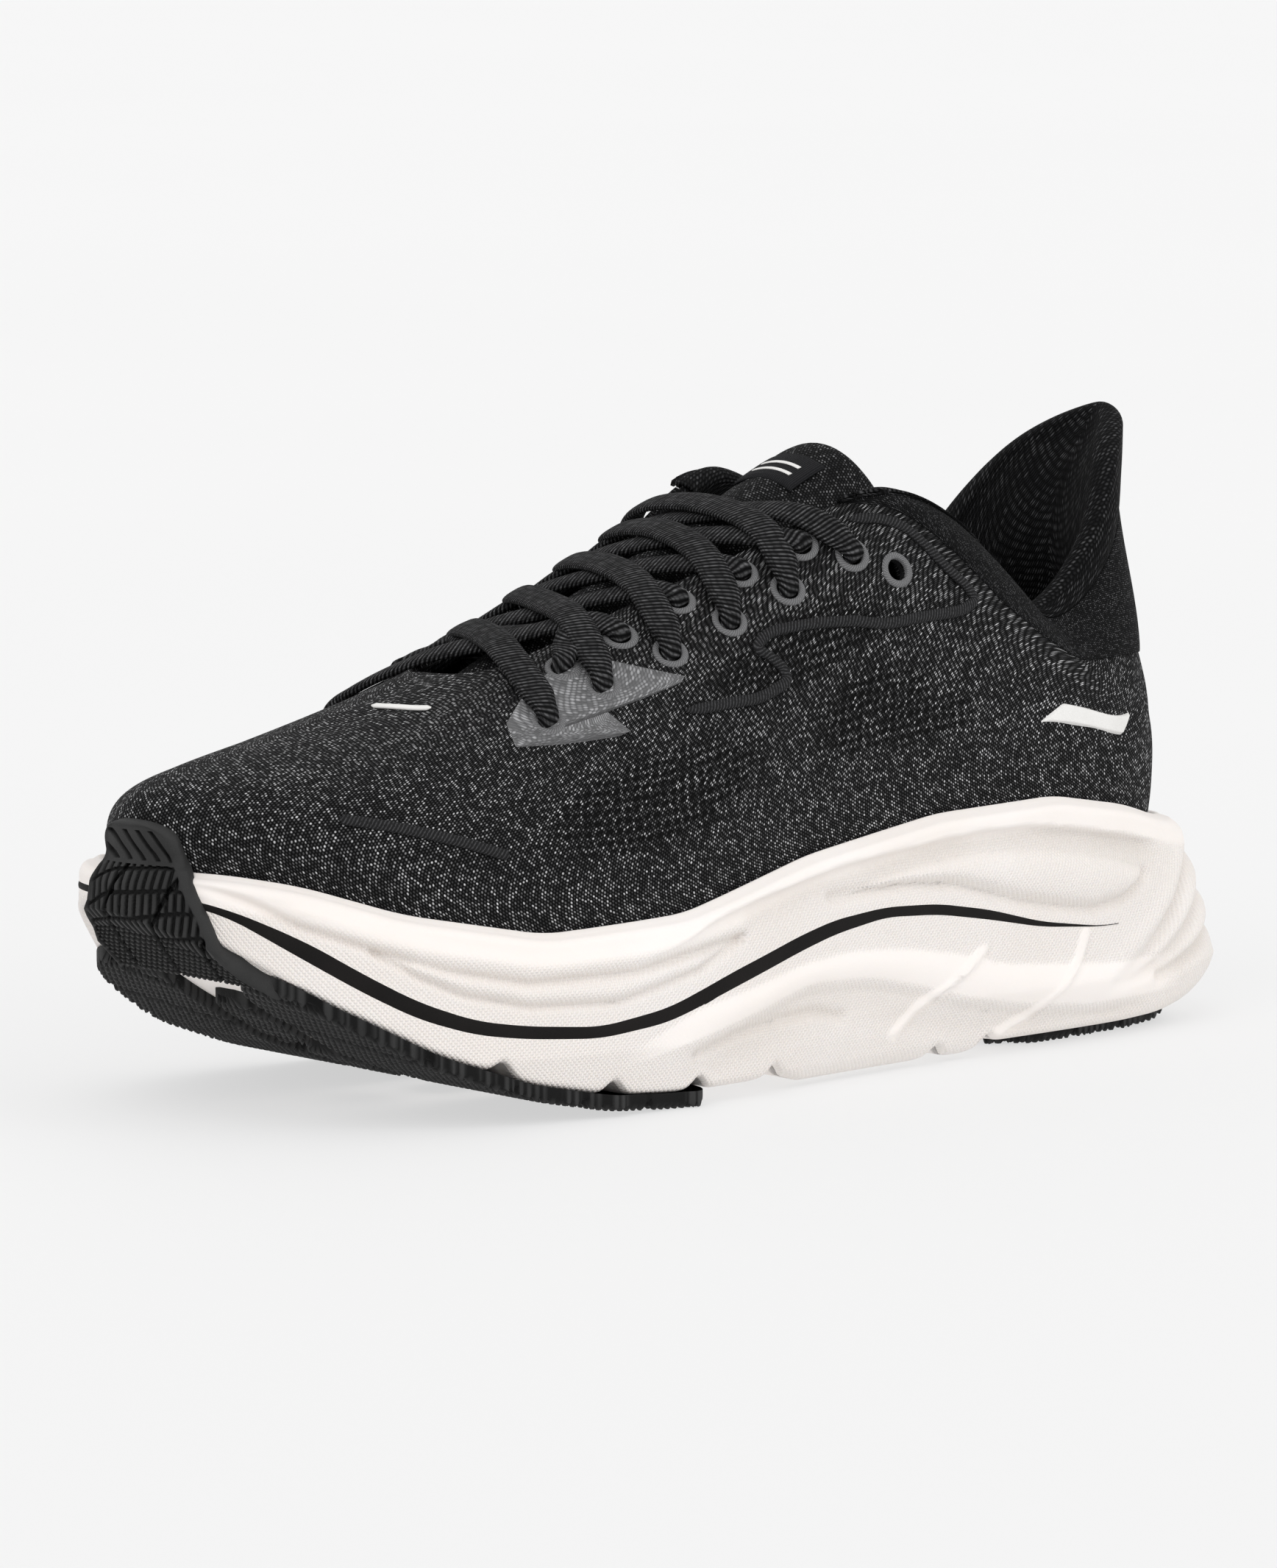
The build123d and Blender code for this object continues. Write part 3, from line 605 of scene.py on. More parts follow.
def studio():
    """A pale floor, an even sky and three soft lights."""
    shade = Shade("floor_pale", Roughness=0.75, Specular_IOR_Level=0.1, Emission_Strength=0.602)
    shade.shader.inputs["Emission Color"].default_value = (1, 1, 1, 1)
    cloud = shade.noise(shade.place(), 0.002, 2.0)
    floor = shade.finish(shade.mix(cloud, grey(0.263), grey(0.277)))
    x, y = np.meshgrid(*[np.linspace(-FLOOR_HALF, FLOOR_HALF, 80)] * 2, indexing="ij")
    rise = FLOOR_CURVE * np.maximum(np.hypot(x, y) - FLOOR_FLAT, 0) ** 2
    grid_piece("floor", np.stack([x, y, rise], -1), floor, body=None)
    world = bpy.data.worlds.new("studio")
    world.use_nodes = True
    sky = world.node_tree.nodes["Background"].inputs
    sky["Color"].default_value = (1, 1, 1, 1)
    sky["Strength"].default_value = 0.75
    bpy.context.scene.world = world
    softbox("key", -60, 48, 0.7, 50)
    softbox("fill", 20, 25, 0.9, 60)
    softbox("back", 160, 55, 0.2, 60)
    bpy.context.scene.view_settings.view_transform = "Standard"


# ---------------------------------------------------------------- midsole

CHANNEL_TOP = [
    (-60, 33), (-42, 37.4), (-30, 42.2), (-14.5, 45.6), (12, 50), (31, 51.4), (42.5, 52.4), (59, 53.4),
    (76.6, 52.8), (94.7, 50), (112, 46.5), (125, 43.5),
]
PILLOW_TOP = [(8, 42.8), (31, 46), (54, 48.2), (76.6, 46.8), (100, 43), (113, 38.6)]
PILLOW_LOW = [
    (8, 42.6), (31, 43.6), (48, 42), (59, 39), (70.6, 35.8), (82, 33.6), (93.5, 31.8), (105, 33),
    (114, 37.5),
]
UPPER_FOLD = [
    (-142, 55), (-136, 52), (-127, 46.2), (-113.6, 40.6), (-98.7, 35.4), (-81, 31.8), (-54, 32.3),
    (-22, 37),
]
LOWER_FOLD = [(-113.6, 40), (-105, 34.4), (-95.7, 30), (-81, 26.6), (-59, 26), (-36, 31), (-22, 36.5)]
SMOOTH_TOP = [
    (-60, 14), (-36.7, 23), (-15, 26.8), (-3.5, 29.4), (13.5, 30.6), (31, 29.2), (48, 26.4), (64.5, 22.2),
    (100, 19), (130, 19),
]
SMOOTH_LOW = [
    (-60, 10), (-37, 15.4), (-21, 19), (-1, 24), (19, 23.2), (36, 19.6), (53, 14.8), (70.6, 11.6), (94, 9),
    (130, 9.5),
]
ARCH_LINE = [(-36.5, 12.2), (-23, 15.2), (-9.7, 17), (1.6, 17.4), (10.7, 15.4)]
RIBS = [
    [(28.3, 9.4), (36, 14.6), (47.6, 20.4), (56.5, 25.4)],
    [(64.3, 5.4), (72.8, 8.4), (81, 14.2), (88, 20.6), (90.6, 26)],
]
# Flutes round the heel, as (distance round from the heel's middle, height).
FLUTES = [
    [(84, 14), (72, 19), (56, 28), (44, 36), (30, 41.5), (0, 43)],
    [(84, 12.5), (70, 15.5), (54, 22), (38, 29.5), (20, 33), (0, 34)],
    [(66, 13.5), (50, 17.5), (34, 22), (15, 25), (0, 26)],
]
NOTCHES = (-87, -58.6, -34.4, -10.5, 44.8, 61)
STRIPE_TOP = [
    (-146, 52.5), (-141, 50.8), (-136, 48.4), (-127, 43.6), (-116.6, 36.4), (-105, 29.6), (-92.6, 24.8),
    (-81, 22.9), (-63, 21.4), (-45, 24.1), (-26, 30.2), (-4, 35.9), (8, 38.2), (25, 39.2), (42.4, 38.2),
    (59, 35.2), (76, 30.6), (96, 27.4),
]
STRIPE_LOW = [
    (-146, 50.5), (-141, 49.2), (-136, 45.2), (-127, 38.2), (-116.6, 31.2), (-105, 24.8), (-92.6, 20.8),
    (-81, 19.2), (-63, 18.0), (-45, 19.9), (-26, 25.4), (-4, 31.3), (8, 34), (25, 36.2), (42.4, 35),
    (59, 32.2), (76, 29), (96, 27.2),
]


def gap_to(line, x, z):
    """Distance from points to a line in the side view."""
    best = np.full(np.shape(x), 1e9)
    for (x0, z0), (x1, z1) in zip(line, line[1:]):
        dx, dz = x1 - x0, z1 - z0
        f = np.clip(((x - x0) * dx + (z - z0) * dz) / (dx * dx + dz * dz), 0, 1)
        best = np.minimum(best, np.hypot(x - x0 - f * dx, z - z0 - f * dz))
    return best


def crease(line, x, z, depth, width):
    return -depth * np.exp(-((gap_to(line, x, z) / width) ** 2))


def swelling(line, rise, x, z, height, width):
    """A soft ridge that runs beside a line, rise above it."""
    beside = [(a, b + rise) for a, b in line]
    return height * np.exp(-((gap_to(beside, x, z) / width) ** 2))


def foam_relief(x, z, round_heel):
    """How far the sculpted side stands out from the plain wall, in millimetres."""
    below = along_line(CHANNEL_TOP, x) - z
    channel = (1 - np.exp(-np.maximum(below, 0) / 0.7)) * np.exp(-((np.maximum(below, 0) / 6.5) ** 2))
    channel *= smooth(-58, -25, x) * smooth(124, 112, x)
    top, low = along_line(PILLOW_TOP, x), along_line(PILLOW_LOW, x)
    rise = np.clip((z - low) / np.maximum(top - low, 0.6), 0, 1)
    pillow = np.sin(pi * rise) ** 0.7 * smooth(8, 30, x) * smooth(116, 108, x)
    out = -2.3 * channel + 1.7 * pillow
    out += crease(PILLOW_LOW, x, z, 1.5, 1.5)
    out += crease(UPPER_FOLD, x, z, 1.4, 1.0) + crease(LOWER_FOLD, x, z, 1.3, 0.9)
    out += swelling(UPPER_FOLD[2:], 3.4, x, z, 0.9, 2.4)
    out += swelling(LOWER_FOLD[1:-1], 2.6, x, z, 0.8, 1.7)
    belly = smooth(-45, -25, x) * smooth(118, 100, x)
    low, top = along_line(SMOOTH_LOW, x), along_line(SMOOTH_TOP, x)
    share = np.clip((z - low) / (top - low), 0, 1)
    out += 1.1 * belly * np.sin(pi * share) ** 0.8
    under = low - z
    out -= 1.3 * belly * smooth(0, 2.5, under) * smooth(14, 6, under)
    out += crease(ARCH_LINE, x, z, 1.3, 1.3)
    for rib in RIBS:
        out -= crease(rib, x, z, 1.1, 0.8)
        out += crease([(a + 1.9, b - 0.6) for a, b in rib], x, z, 0.5, 0.8)
    behind = smooth(92, 66, round_heel)
    for flute in FLUTES:
        out += behind * crease(flute, round_heel, z, 2.1, 1.8)
        out += behind * swelling(flute, 4.2, round_heel, z, 0.9, 2.4)
    return out


def emboss_mask(x, z, top):
    """1 where the foam carries the diamond emboss, 0 on its smooth bands."""
    mask = smooth(4.5, 7.5, top - z)
    low, high = along_line(SMOOTH_LOW, x), along_line(SMOOTH_TOP, x)
    smooth_band = smooth(0, 1.2, z - low) * smooth(0, 1.2, high - z)
    mask *= 1 - smooth_band * smooth(-60, -40, x) * smooth(128, 110, x)
    for rib in RIBS:
        mask *= smooth(1.2, 2.2, gap_to(rib, x, z))
    return mask


def underside_height(x, y_share=1.0):
    z = along_line(UNDERSIDE, x)
    pads = smooth(-8, 2, x) * smooth(66, 58, x)
    notch = sum(np.exp(-(((x - place) / 2.6) ** 2)) for place in NOTCHES)
    return z - 2.0 * pads + 3.2 * notch * y_share


def foam_levels(t):
    """Heights of the wall's foot and rim at each station."""
    foot = np.full(t.shape, 6.0)
    rim = np.full(t.shape, 50.0)
    for _ in range(12):
        foot = underside_height(foam_wall(t, foot)[..., 0])
        rim = along_line(RIM_LINE, foam_wall(t, rim)[..., 0])
    return foot, rim


def rounding(gap, radius):
    """How far a rounded edge falls back at a distance from it."""
    inner = np.clip(radius - gap, 0, radius)
    return radius - np.sqrt(radius**2 - inner**2)


def heel_distance(t):
    """Distance round the foam from the heel's middle."""
    dense = np.linspace(0, 1, 2001)
    walk = np.concatenate([[0], np.cumsum(np.linalg.norm(np.diff(WIDEST_RAIL(dense), axis=0), axis=-1))])
    return abs(np.interp(t, dense, walk) - np.interp(0.5, dense, walk))


def wall_points(t, z, out=0.0, foot=None, rim=None):
    """The sculpted wall at stations t and heights z."""
    flat = foam_wall(t, z)
    away = np.broadcast_to(heel_distance(t), z.shape)
    stand = foam_relief(flat[..., 0], z, away)
    if rim is not None:
        fade = smooth(0.5, 4.0, rim - z) * smooth(0, 3, z - foot)
        foot_radius = 2.0 + 4.0 * smooth(80, 40, away)
        stand = stand * fade - rounding(rim - z, 2.6) - rounding(z - foot, foot_radius)
    return foam_wall(t, z, stand + out)


def spine_rows(edge, height, shares):
    """Rows that shrink from an edge outline to the middle line of the sole."""
    rows = []
    for share in shares:
        middle = np.stack([np.clip(edge[:, 0], -118, 118) * 0.93, 0 * edge[:, 0] + 2], -1)
        plan = middle + share * (edge[:, :2] - middle)
        rows.append(np.column_stack([plan, height(plan[:, 0], share)]))
    return rows


def midsole():
    stations = np.linspace(0, 1, 1001)
    foot, rim = foam_levels(stations)
    share = np.linspace(0, 1, 78)[:, None]
    z = foot[None] + share * (rim - foot)[None]
    t = np.broadcast_to(stations[None], z.shape)
    wall = wall_points(t, z, foot=foot[None], rim=rim[None])
    bottom = spine_rows(wall[0], lambda x, s: underside_height(x, s**6), (0, 0.3, 0.55, 0.75, 0.88, 0.95))
    feather = RAILS[0](stations)
    normal = plan_normal(RAILS[0], stations)
    lip = np.column_stack([feather[:, :2] + 0.3 * normal, wall[-1, :, 2]])
    ledge = [wall[-1] + s * (lip - wall[-1]) + (0, 0, 0.9 * sin(pi * s)) for s in (0.33, 0.66, 1.0)]
    floor = along_line(FOOTBED_LINE, lip[:, 0])
    well = [np.column_stack([lip[:, :2], lip[:, 2] + s * (floor - lip[:, 2])]) for s in (0.3, 0.7, 1.0)]
    footbed = spine_rows(well[-1], lambda x, s: along_line(FOOTBED_LINE, x), (0.8, 0.4, 0.0))
    points = np.stack([*bottom, *wall, *ledge, *well, *footbed])
    side = slice(len(bottom), len(bottom) + len(wall))
    away = np.broadcast_to(heel_distance(stations), z.shape)
    relief = foam_relief(foam_wall(t, z)[..., 0], z, away)
    masks = {"emboss": np.zeros(points.shape[:2]), "crease_shade": np.zeros(points.shape[:2])}
    masks["emboss"][side] = emboss_mask(wall[..., 0], z, rim[None])
    # painted shade: this mask is set where the sculpted wall sinks in, so that its colour darkens there
    masks["crease_shade"][side] = np.clip(-relief / 2.2, 0, 1) * smooth(1, 5, rim[None] - z)
    weave = walked(points)
    weave[..., 0] = walked(WIDEST_RAIL(stations)[None])[..., 0]
    weave[side, :, 1] = z
    piece = shell_piece("midsole_foam", points, M["foam"], weave=weave, masks=masks)
    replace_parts(piece, "midsole")
    for name, low, high in (("lateral", 0.012, 0.355), ("medial", 0.645, 0.988)):
        stripe(name, low, high)


def stripe(name, low, high):
    """The black line let into the foam."""
    t = np.linspace(low, high, 420)
    x = foam_wall(t, np.full(t.shape, 32.0))[:, 0]
    bottom, top = along_line(STRIPE_LOW, x), along_line(STRIPE_TOP, x)
    share = np.linspace(0, 1, 7)[:, None]
    z = bottom[None] + share * (top - bottom)[None]
    t = np.broadcast_to(t[None], z.shape)
    face = wall_points(t, z, 0.30 * np.sin(pi * share) ** 0.5 - 0.15 + 0 * z)
    back = wall_points(t, z, -1.4 + 0 * z)
    points = np.concatenate([face, back[::-1], face[:1]])
    piece = shell_piece(f"stripe_{name}", points, M["stripe"])
    caps(piece)
    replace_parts(piece, f"midsole_stripe_{name}")


# ---------------------------------------------------------------- rubber

RUBBER = 3.4  # thickness of the rubber under the foam
GRIP = 0.4  # how far it reaches into the foam
HEEL_INSET = 7.0  # foam edge seen outside the heel rubber
PAD_LENGTH = 10.0  # half-length and half-width of a centre pad
PAD_WIDTH = 7.5


def groove(place, step, width):
    """1 on evenly spaced groove lines, 0 between them, for a place measured across the lines."""
    away = abs((place / step + 0.5) % 1.0 - 0.5) * step
    return smooth(width / 2 + 0.15, width / 2 - 0.15, away)


def tread(x, y):
    """Depth of a square lug pattern, with a few wider flex grooves across it."""
    fine = np.maximum(groove(x, 2.0, 0.76), groove(y, 2.0, 0.76))
    wide = groove(x + 0.35 * y, 17.0, 1.66)
    return np.maximum(fine * 0.9, wide * 2.0)


def treaded(name, x, y, edge):
    """A treaded rubber pad under the foam; edge is the distance from its rim."""
    ground = along_line(UNDERSIDE, x)
    cuts = tread(x, y)
    face = np.stack([x, y, ground - RUBBER + cuts + rounding(edge, 0.8)], -1)
    points = np.pad(face, ((1, 1), (1, 1), (0, 0)), mode="edge")
    rim = np.pad(np.zeros(x.shape, bool), 1, constant_values=True)
    points[rim, 2] = np.pad(ground + GRIP, 1, mode="edge")[rim]
    # painted shade: this mask darkens the rubber's cuts, where shade falls
    dark = np.pad(np.clip(cuts, 0, 1), 1, mode="edge")
    piece = grid_piece(name, points, M["rubber"], weave=walked(points), masks={"groove": dark})
    return piece


def pod(name, x_low, x_high, inner, outer, corner=6.0):
    """A rubber pad between two lines in plan."""
    step = 0.5  # of its grid
    x = np.linspace(x_low, x_high, int((x_high - x_low) / step))
    low, high = inner(x), outer(x)
    ends = np.minimum(x - x_low, x_high - x)
    pull = np.minimum(rounding(ends, corner), 0.42 * abs(high - low))
    sign = np.sign(high - low)
    low, high = low + sign * pull, high - sign * pull
    share = np.linspace(0, 1, int(abs(high - low).max() / step))[None]
    y = low[:, None] + share * (high - low)[:, None]
    edge = np.minimum(abs(y - low[:, None]), abs(high[:, None] - y))
    edge = np.minimum(edge, ends[:, None])
    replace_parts(treaded(name, np.broadcast_to(x[:, None], y.shape), y, edge), name)


def centre_pad(name, x, y):
    grid_x = np.linspace(x - PAD_LENGTH, x + PAD_LENGTH, 44)[:, None]
    share = np.linspace(-1, 1, 34)[None]
    ends = np.minimum(grid_x - x + PAD_LENGTH, x + PAD_LENGTH - grid_x)
    grid_y = y + share * (PAD_WIDTH - rounding(ends, 5))
    edge = np.minimum((1 - abs(share)) * PAD_WIDTH, ends)
    return treaded(name, np.broadcast_to(grid_x, grid_y.shape), grid_y, edge)


def foot_outline(side):
    """The foam's foot as y over x, on one side."""
    t = np.linspace(0.0, 0.5, 400)
    if side > 0:
        t = 1 - t
    foot, _ = foam_levels(t)
    edge = foam_wall(t, foot)
    order = np.argsort(edge[:, 0])
    return lambda x: np.interp(x, edge[order, 0], edge[order, 1])


def outsole():
    near, far = foot_outline(-1), foot_outline(1)
    proud = 0.6  # how far the forefoot rubber shows outside the foam

    def line(*points):
        return lambda x: along_line(points, x)

    fore_near = line((-131, -8), (-40, -13), (-31, -30))
    fore_far = line((-131, 17), (-40, 17), (-24, 40))
    heel_near = line((74, -24), (92, -10), (139, -3))
    heel_far = line((60, 24), (78, 9), (139, 4))
    pod("outsole_forefoot_lateral", -131, -31, fore_near, lambda x: near(x) - proud)
    pod("outsole_forefoot_medial", -131, -24, fore_far, lambda x: far(x) + proud)
    pod("outsole_heel_lateral", 74, 139, heel_near, lambda x: near(x) + HEEL_INSET, 14.0)
    pod("outsole_heel_medial", 60, 139, heel_far, lambda x: far(x) - HEEL_INSET, 14.0)
    places = ((-112, 4), (-86, 4), (-60, 3), (-34, 2))
    pads = [centre_pad(f"outsole_center_pad_{i + 1}", *place) for i, place in enumerate(places)]
    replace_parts(pads[0], "outsole_center_pods")
    toe_rubber()


# The toe rubber runs from under the toe (0), round the foam's edge (0.52) and up its wall to the
# toe box (0.7) and its crown (1). Its half-widths are shares of the way round the shoe.
TOE_NEAR = [
    (0, 0.088), (0.3, 0.070), (0.52, 0.058), (0.6, 0.048), (0.66, 0.041), (0.72, 0.037), (0.82, 0.034),
    (1, 0.030),
]
TOE_FAR = [(0, 0.056), (0.3, 0.044), (0.45, 0.028), (0.55, 0.018), (0.7, 0.016), (0.85, 0.018), (1, 0.018)]
TOE_CROWN = 0.185  # how high it reaches on the toe box
TOE_BACK = -130.0  # where it meets the forefoot rubber


def toe_rubber():
    """The rubber under the toe, carried up over the front of the foam and onto the toe box."""
    v = np.linspace(0, 1, 230)[:, None]
    u = np.linspace(-1, 1, 250)[None]
    half = np.where(u > 0, np.interp(v, *zip(*TOE_NEAR)), np.interp(v, *zip(*TOE_FAR)))
    crown = np.sqrt(1 - np.clip((v - 0.84) / 0.16, 0, 1) ** 2.6)
    t = 0.0005 + u * half * np.maximum(crown, 0.1)
    foot, _ = foam_levels(t)
    edge = foam_wall(t, foot)
    back = np.stack([np.maximum(TOE_BACK, edge[..., 0] + 2), edge[..., 1] * 0.93 + 0.6, 0 * t], -1)
    under = back + np.clip(v / 0.52, 0, 1)[..., None] * (edge - back)
    under[..., 2] = underside_height(under[..., 0], 0)
    slope = underside_height(under[..., 0] + 1, 0) - underside_height(under[..., 0] - 1, 0)
    down = unit(np.stack([slope / 2, 0 * t, 0 * t - 1], -1))
    on_foam = foam_wall(t, foot + np.clip((v - 0.52) / 0.18, 0, 1) * (58 - foot))
    on_toe = skin(t, np.clip((v - 0.66) / 0.34, 0, 1) * TOE_CROWN)
    base = np.where((v < 0.52)[..., None], under, on_foam)
    share = smooth(0.62, 0.78, v)[..., None]
    base = base * (1 - share) + on_toe * share
    turn = smooth(0.40, 0.58, v)[..., None]
    out = unit(down * (1 - turn) + outward(t, np.full(t.shape, 0.06)) * turn)
    weave = walked(base)
    side = (1 - abs(u)) * np.ptp(weave[..., 0], axis=1)[:, None] / 2
    away = np.minimum(side, (1 - v) * 50)
    cuts = toe_cuts(weave, v + 0 * u) * smooth(1.4, 2.4, away)
    rim = 0.4 * smooth(2.6, 1.2, away)
    lift = np.interp(v, (0.3, 0.6), (3.2, 2.0)) + rim - rounding(away, 1.5) - cuts
    face = base + lift[..., None] * out
    back = base - 1.0 * out
    points = np.concatenate([back[:, :1], face, back[:, -1:]], 1)
    top = np.concatenate([back[-1:, :1], back[-1:], back[-1:, -1:]], 1)
    points = np.concatenate([points, top], 0)
    # painted shade: this mask darkens the toe rubber's cuts, where shade falls
    dark = np.pad(np.clip(cuts * 1.3, 0, 1), ((0, 1), (1, 1)), mode="edge")
    piece = shell_piece("toe_rubber", points, M["rubber"], masks={"groove": dark})
    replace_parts(piece, "toe_bumper", "outsole_toe")


def toe_cuts(weave, v):
    """Grooves of the toe rubber: squares low down, tall bars above them, slanting cuts at the top."""
    u, w = weave[..., 0], weave[..., 1]
    upright = groove(u, 1.95, 0.85)
    squares = np.maximum(upright, groove(w, 1.95, 0.85)) * (v < 0.42)
    bars = np.maximum(upright, groove(w - 1.0, 5.4, 0.9)) * (v >= 0.42) * (v < 0.72)
    slants = groove(u * 0.8 + w * 0.6, 2.6, 0.85) * (v >= 0.74) * (v < 0.93)
    flex = groove(u - 0.5 * w, 15.0, 1.1) * (v < 0.72)
    return 0.75 * np.maximum(np.maximum(squares, bars), slants) + 0.9 * flex


# ---------------------------------------------------------------- upper

# Places on the upper are (t, h) on its lateral side: t round the shoe, h up to the top edge.
OUTER_EYELETS = [
    (0.160, 0.672), (0.179, 0.730), (0.204, 0.748), (0.226, 0.768), (0.248, 0.787), (0.273, 0.805),
]
INNER_EYELETS = [(0.159, 0.848), (0.183, 0.880), (0.207, 0.915), (0.232, 0.915), (0.256, 0.912)]
SPARE_EYELET = (0.287, 0.720)
MEDIAL_SHIFT = 0.012
BAND_SEAM = [
    (0.276, 1.0), (0.283, 0.965), (0.293, 0.948), (0.303, 0.888), (0.313, 0.807), (0.321, 0.695),
    (0.328, 0.635), (0.342, 0.603), (0.361, 0.657), (0.383, 0.665), (0.42, 0.53), (0.45, 0.45), (0.5, 0.42),
]
TAB_SEAM = [(0.30, 1.0), (0.34, 0.985), (0.361, 0.945), (0.41, 0.905), (0.453, 0.885), (0.5, 0.83)]
VENTS = [  # patches of ventilation holes: middle, half-length, half-height
    ((0.248, 0.60), 0.03, 0.10), ((0.272, 0.35), 0.02, 0.12), ((0.20, 0.35), 0.035, 0.13),
    ((0.285, 0.28), 0.02, 0.06),
]


def on_side(place, side):
    t, h = place
    return (t, h) if side < 0 else (1 - t + MEDIAL_SHIFT, h)


def near_half(t):
    """Stations folded onto the lateral half, so both sides share their lines."""
    return np.where(t > 0.5, 1 - t, t)


def eyelets(side):
    return [on_side(place, side) for place in (*OUTER_EYELETS, *INNER_EYELETS, SPARE_EYELET)]


def clear_of_eyelets(points, depth, radius):
    """Which cells of a cloth's grid stay once its eyelet holes are cut."""
    middle = (points[:-1, :-1] + points[1:, 1:]) / 2
    keep = np.ones(middle.shape[:2], bool)
    for place in (*eyelets(-1), *eyelets(1)):
        keep &= np.linalg.norm(middle - inside(*place, depth), axis=-1) > radius
    return keep


def upper_knit():
    t = np.linspace(-0.5, 0.5, 721)[None]
    h = np.concatenate([np.linspace(-0.5, 0, 8)[:-1], np.linspace(0, 0.995, 140)])[:, None]
    t, h = np.broadcast_arrays(t, h)
    base = skin(t, h)
    weave = walked(base)
    wave = 0.12 * np.sin(weave[..., 0] * 0.35 + 2 * np.sin(weave[..., 1] * 0.12)) * smooth(0, 0.1, h)
    folded = near_half(t % 1)
    stay = smooth(0.56, 0.66, h) * smooth(0.13, 0.16, folded) * smooth(0.31, 0.29, folded)
    points = base + (wave * (1 - stay) + 0.25 * stay)[..., None] * outward(t, h)
    vents = np.zeros(t.shape)
    for (t0, h0), wide, tall in VENTS:
        vents = np.maximum(vents, smooth(1.3, 0.7, np.hypot((folded - t0) / wide, (h - h0) / tall)))
    keep = clear_of_eyelets(points, 0.0, 3.0)
    masks = {"vents": vents}
    piece = shell_piece("upper_knit_fabric", points, M["knit"], weave=weave, masks=masks, keep=keep)
    thicken(piece, 1.2)
    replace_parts(piece, "upper_knit")


def forefoot_lining():
    t = np.linspace(-0.315, 0.315, 330)[None]
    h = np.linspace(-0.8, 0.985, 90)[:, None]
    t, h = np.broadcast_arrays(t, h)
    depth = LINING_DEPTH[0]
    hem = inside(t[-1:], np.full_like(t[-1:], 0.999), np.full_like(t[-1:], 0.9))
    points = np.concatenate([inside(t, h, np.full(t.shape, depth)), hem])
    keep = clear_of_eyelets(points, depth, 3.2)
    piece = shell_piece("vamp_lining_fabric", points, M["lining"], keep=keep)
    thicken(piece, 0.7)
    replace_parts(piece, "vamp_lining")


COLLAR_LOW = 0.45


def collar_pad(t, h):
    """Thickness of the collar foam: fullest half-way up and at the back."""
    back = np.maximum(0.0, 1 - abs(t - 0.5) / 0.21)
    swell = np.sin(pi * np.clip((h - COLLAR_LOW) / 0.54, 0, 1))
    return 1.4 + (1.8 + 6.0 * back**0.6) * swell


def collar():
    """The padded collar: an outer band, and a lining that rolls over the edge and down inside."""
    t = np.linspace(0.276, 0.724, 420)[None]
    folded = near_half(t)
    seam, tab = along_line(BAND_SEAM, folded, SEAM_EASE), along_line(TAB_SEAM, folded, SEAM_EASE)
    share = np.linspace(0, 1, 44)[:, None]
    h = seam + share * (np.maximum(tab, seam + 0.004) - seam)
    swell = 0.3 + 1.6 * np.sin(pi * share * 0.85) ** 0.8 * smooth(0.276, 0.30, folded)
    rows = np.broadcast_to(t, h.shape)
    tucked = np.full(t.shape, 0.3)
    foot, back = inside(t, h[:1], tucked), inside(t, h[-1:], tucked)
    points = np.concatenate([foot, inside(rows, h, -swell), back])
    piece = shell_piece("collar_band", points, M["band"])
    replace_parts(piece, "collar_foam")
    collar_lining(t, folded, tab)


def collar_lining(t, folded, tab):
    """The lining: up the outside of the heel tab, over the edge, and down over the padding."""
    share = np.linspace(0, 1, 16)[:, None]
    h_out = tab + share * (1 - tab)
    lift = 0.5 + 1.3 * np.sin(pi * np.clip(share * 0.8 + 0.06, 0, 1)) ** 0.7
    outer = inside(np.broadcast_to(t, h_out.shape), h_out, -lift)
    turn = np.linspace(0, pi, 14)[1:-1, None]
    inner_depth = 5.2
    middle = (inner_depth - lift[-1, 0]) / 2
    radius = (inner_depth + lift[-1, 0]) / 2
    top, below = skin(t, np.ones_like(t)), skin(t, np.full_like(t, 0.985))
    normal = outward(t, np.full_like(t, 0.985))
    fade = smooth(0.276, 0.30, folded)
    sink = middle - radius * np.cos(turn)
    rise = radius * 0.9 * np.sin(turn) * (0.5 + 0.5 * fade)
    roll = top - sink[..., None] * normal + rise[..., None] * unit(top - below)
    down = (np.linspace(1, COLLAR_LOW, 40), np.linspace(COLLAR_LOW, -0.8, 30)[1:])
    h_in = np.concatenate(down)[:, None]
    padded = LINING_DEPTH[0] + collar_pad(t, h_in) + 0.9
    plain = LINING_DEPTH[0] + 0.7 + 1.6 * smooth(0.2, COLLAR_LOW, h_in)
    depth = np.where(h_in < COLLAR_LOW, plain, padded)
    inner = inside(np.broadcast_to(t, depth.shape), np.broadcast_to(h_in, depth.shape), depth)
    start = inside(t, tab, np.full(t.shape, 0.2))
    points = np.concatenate([start, outer, roll, inner])
    piece = shell_piece("collar_lining_fabric", points, M["lining"])
    thicken(piece, 0.7)
    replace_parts(piece, "collar_lining", "quarter_lining")


# ---------------------------------------------------------------- tongue

TONGUE_LINE = [
    (-72, 86.5), (-62, 91), (-50, 96.5), (-37, 102.5), (-25, 108), (-12, 113.5), (0, 118.5), (15, 124.5),
    (29, 131), (35, 134), (43, 137.3), (50, 139),
]
TONGUE_TOE, TONGUE_END = -71, 50.5
TONGUE_DROP = 13.5  # how far its sides fall below its middle
TONGUE_TURN = 29.0  # where its free top begins


def tongue_half(x):
    return np.interp(x, (5, TONGUE_TURN), (20.0, 24.0))


def tongue_top(x, y):
    return along_line(TONGUE_LINE, x) - TONGUE_DROP * (y / tongue_half(x)) ** 2


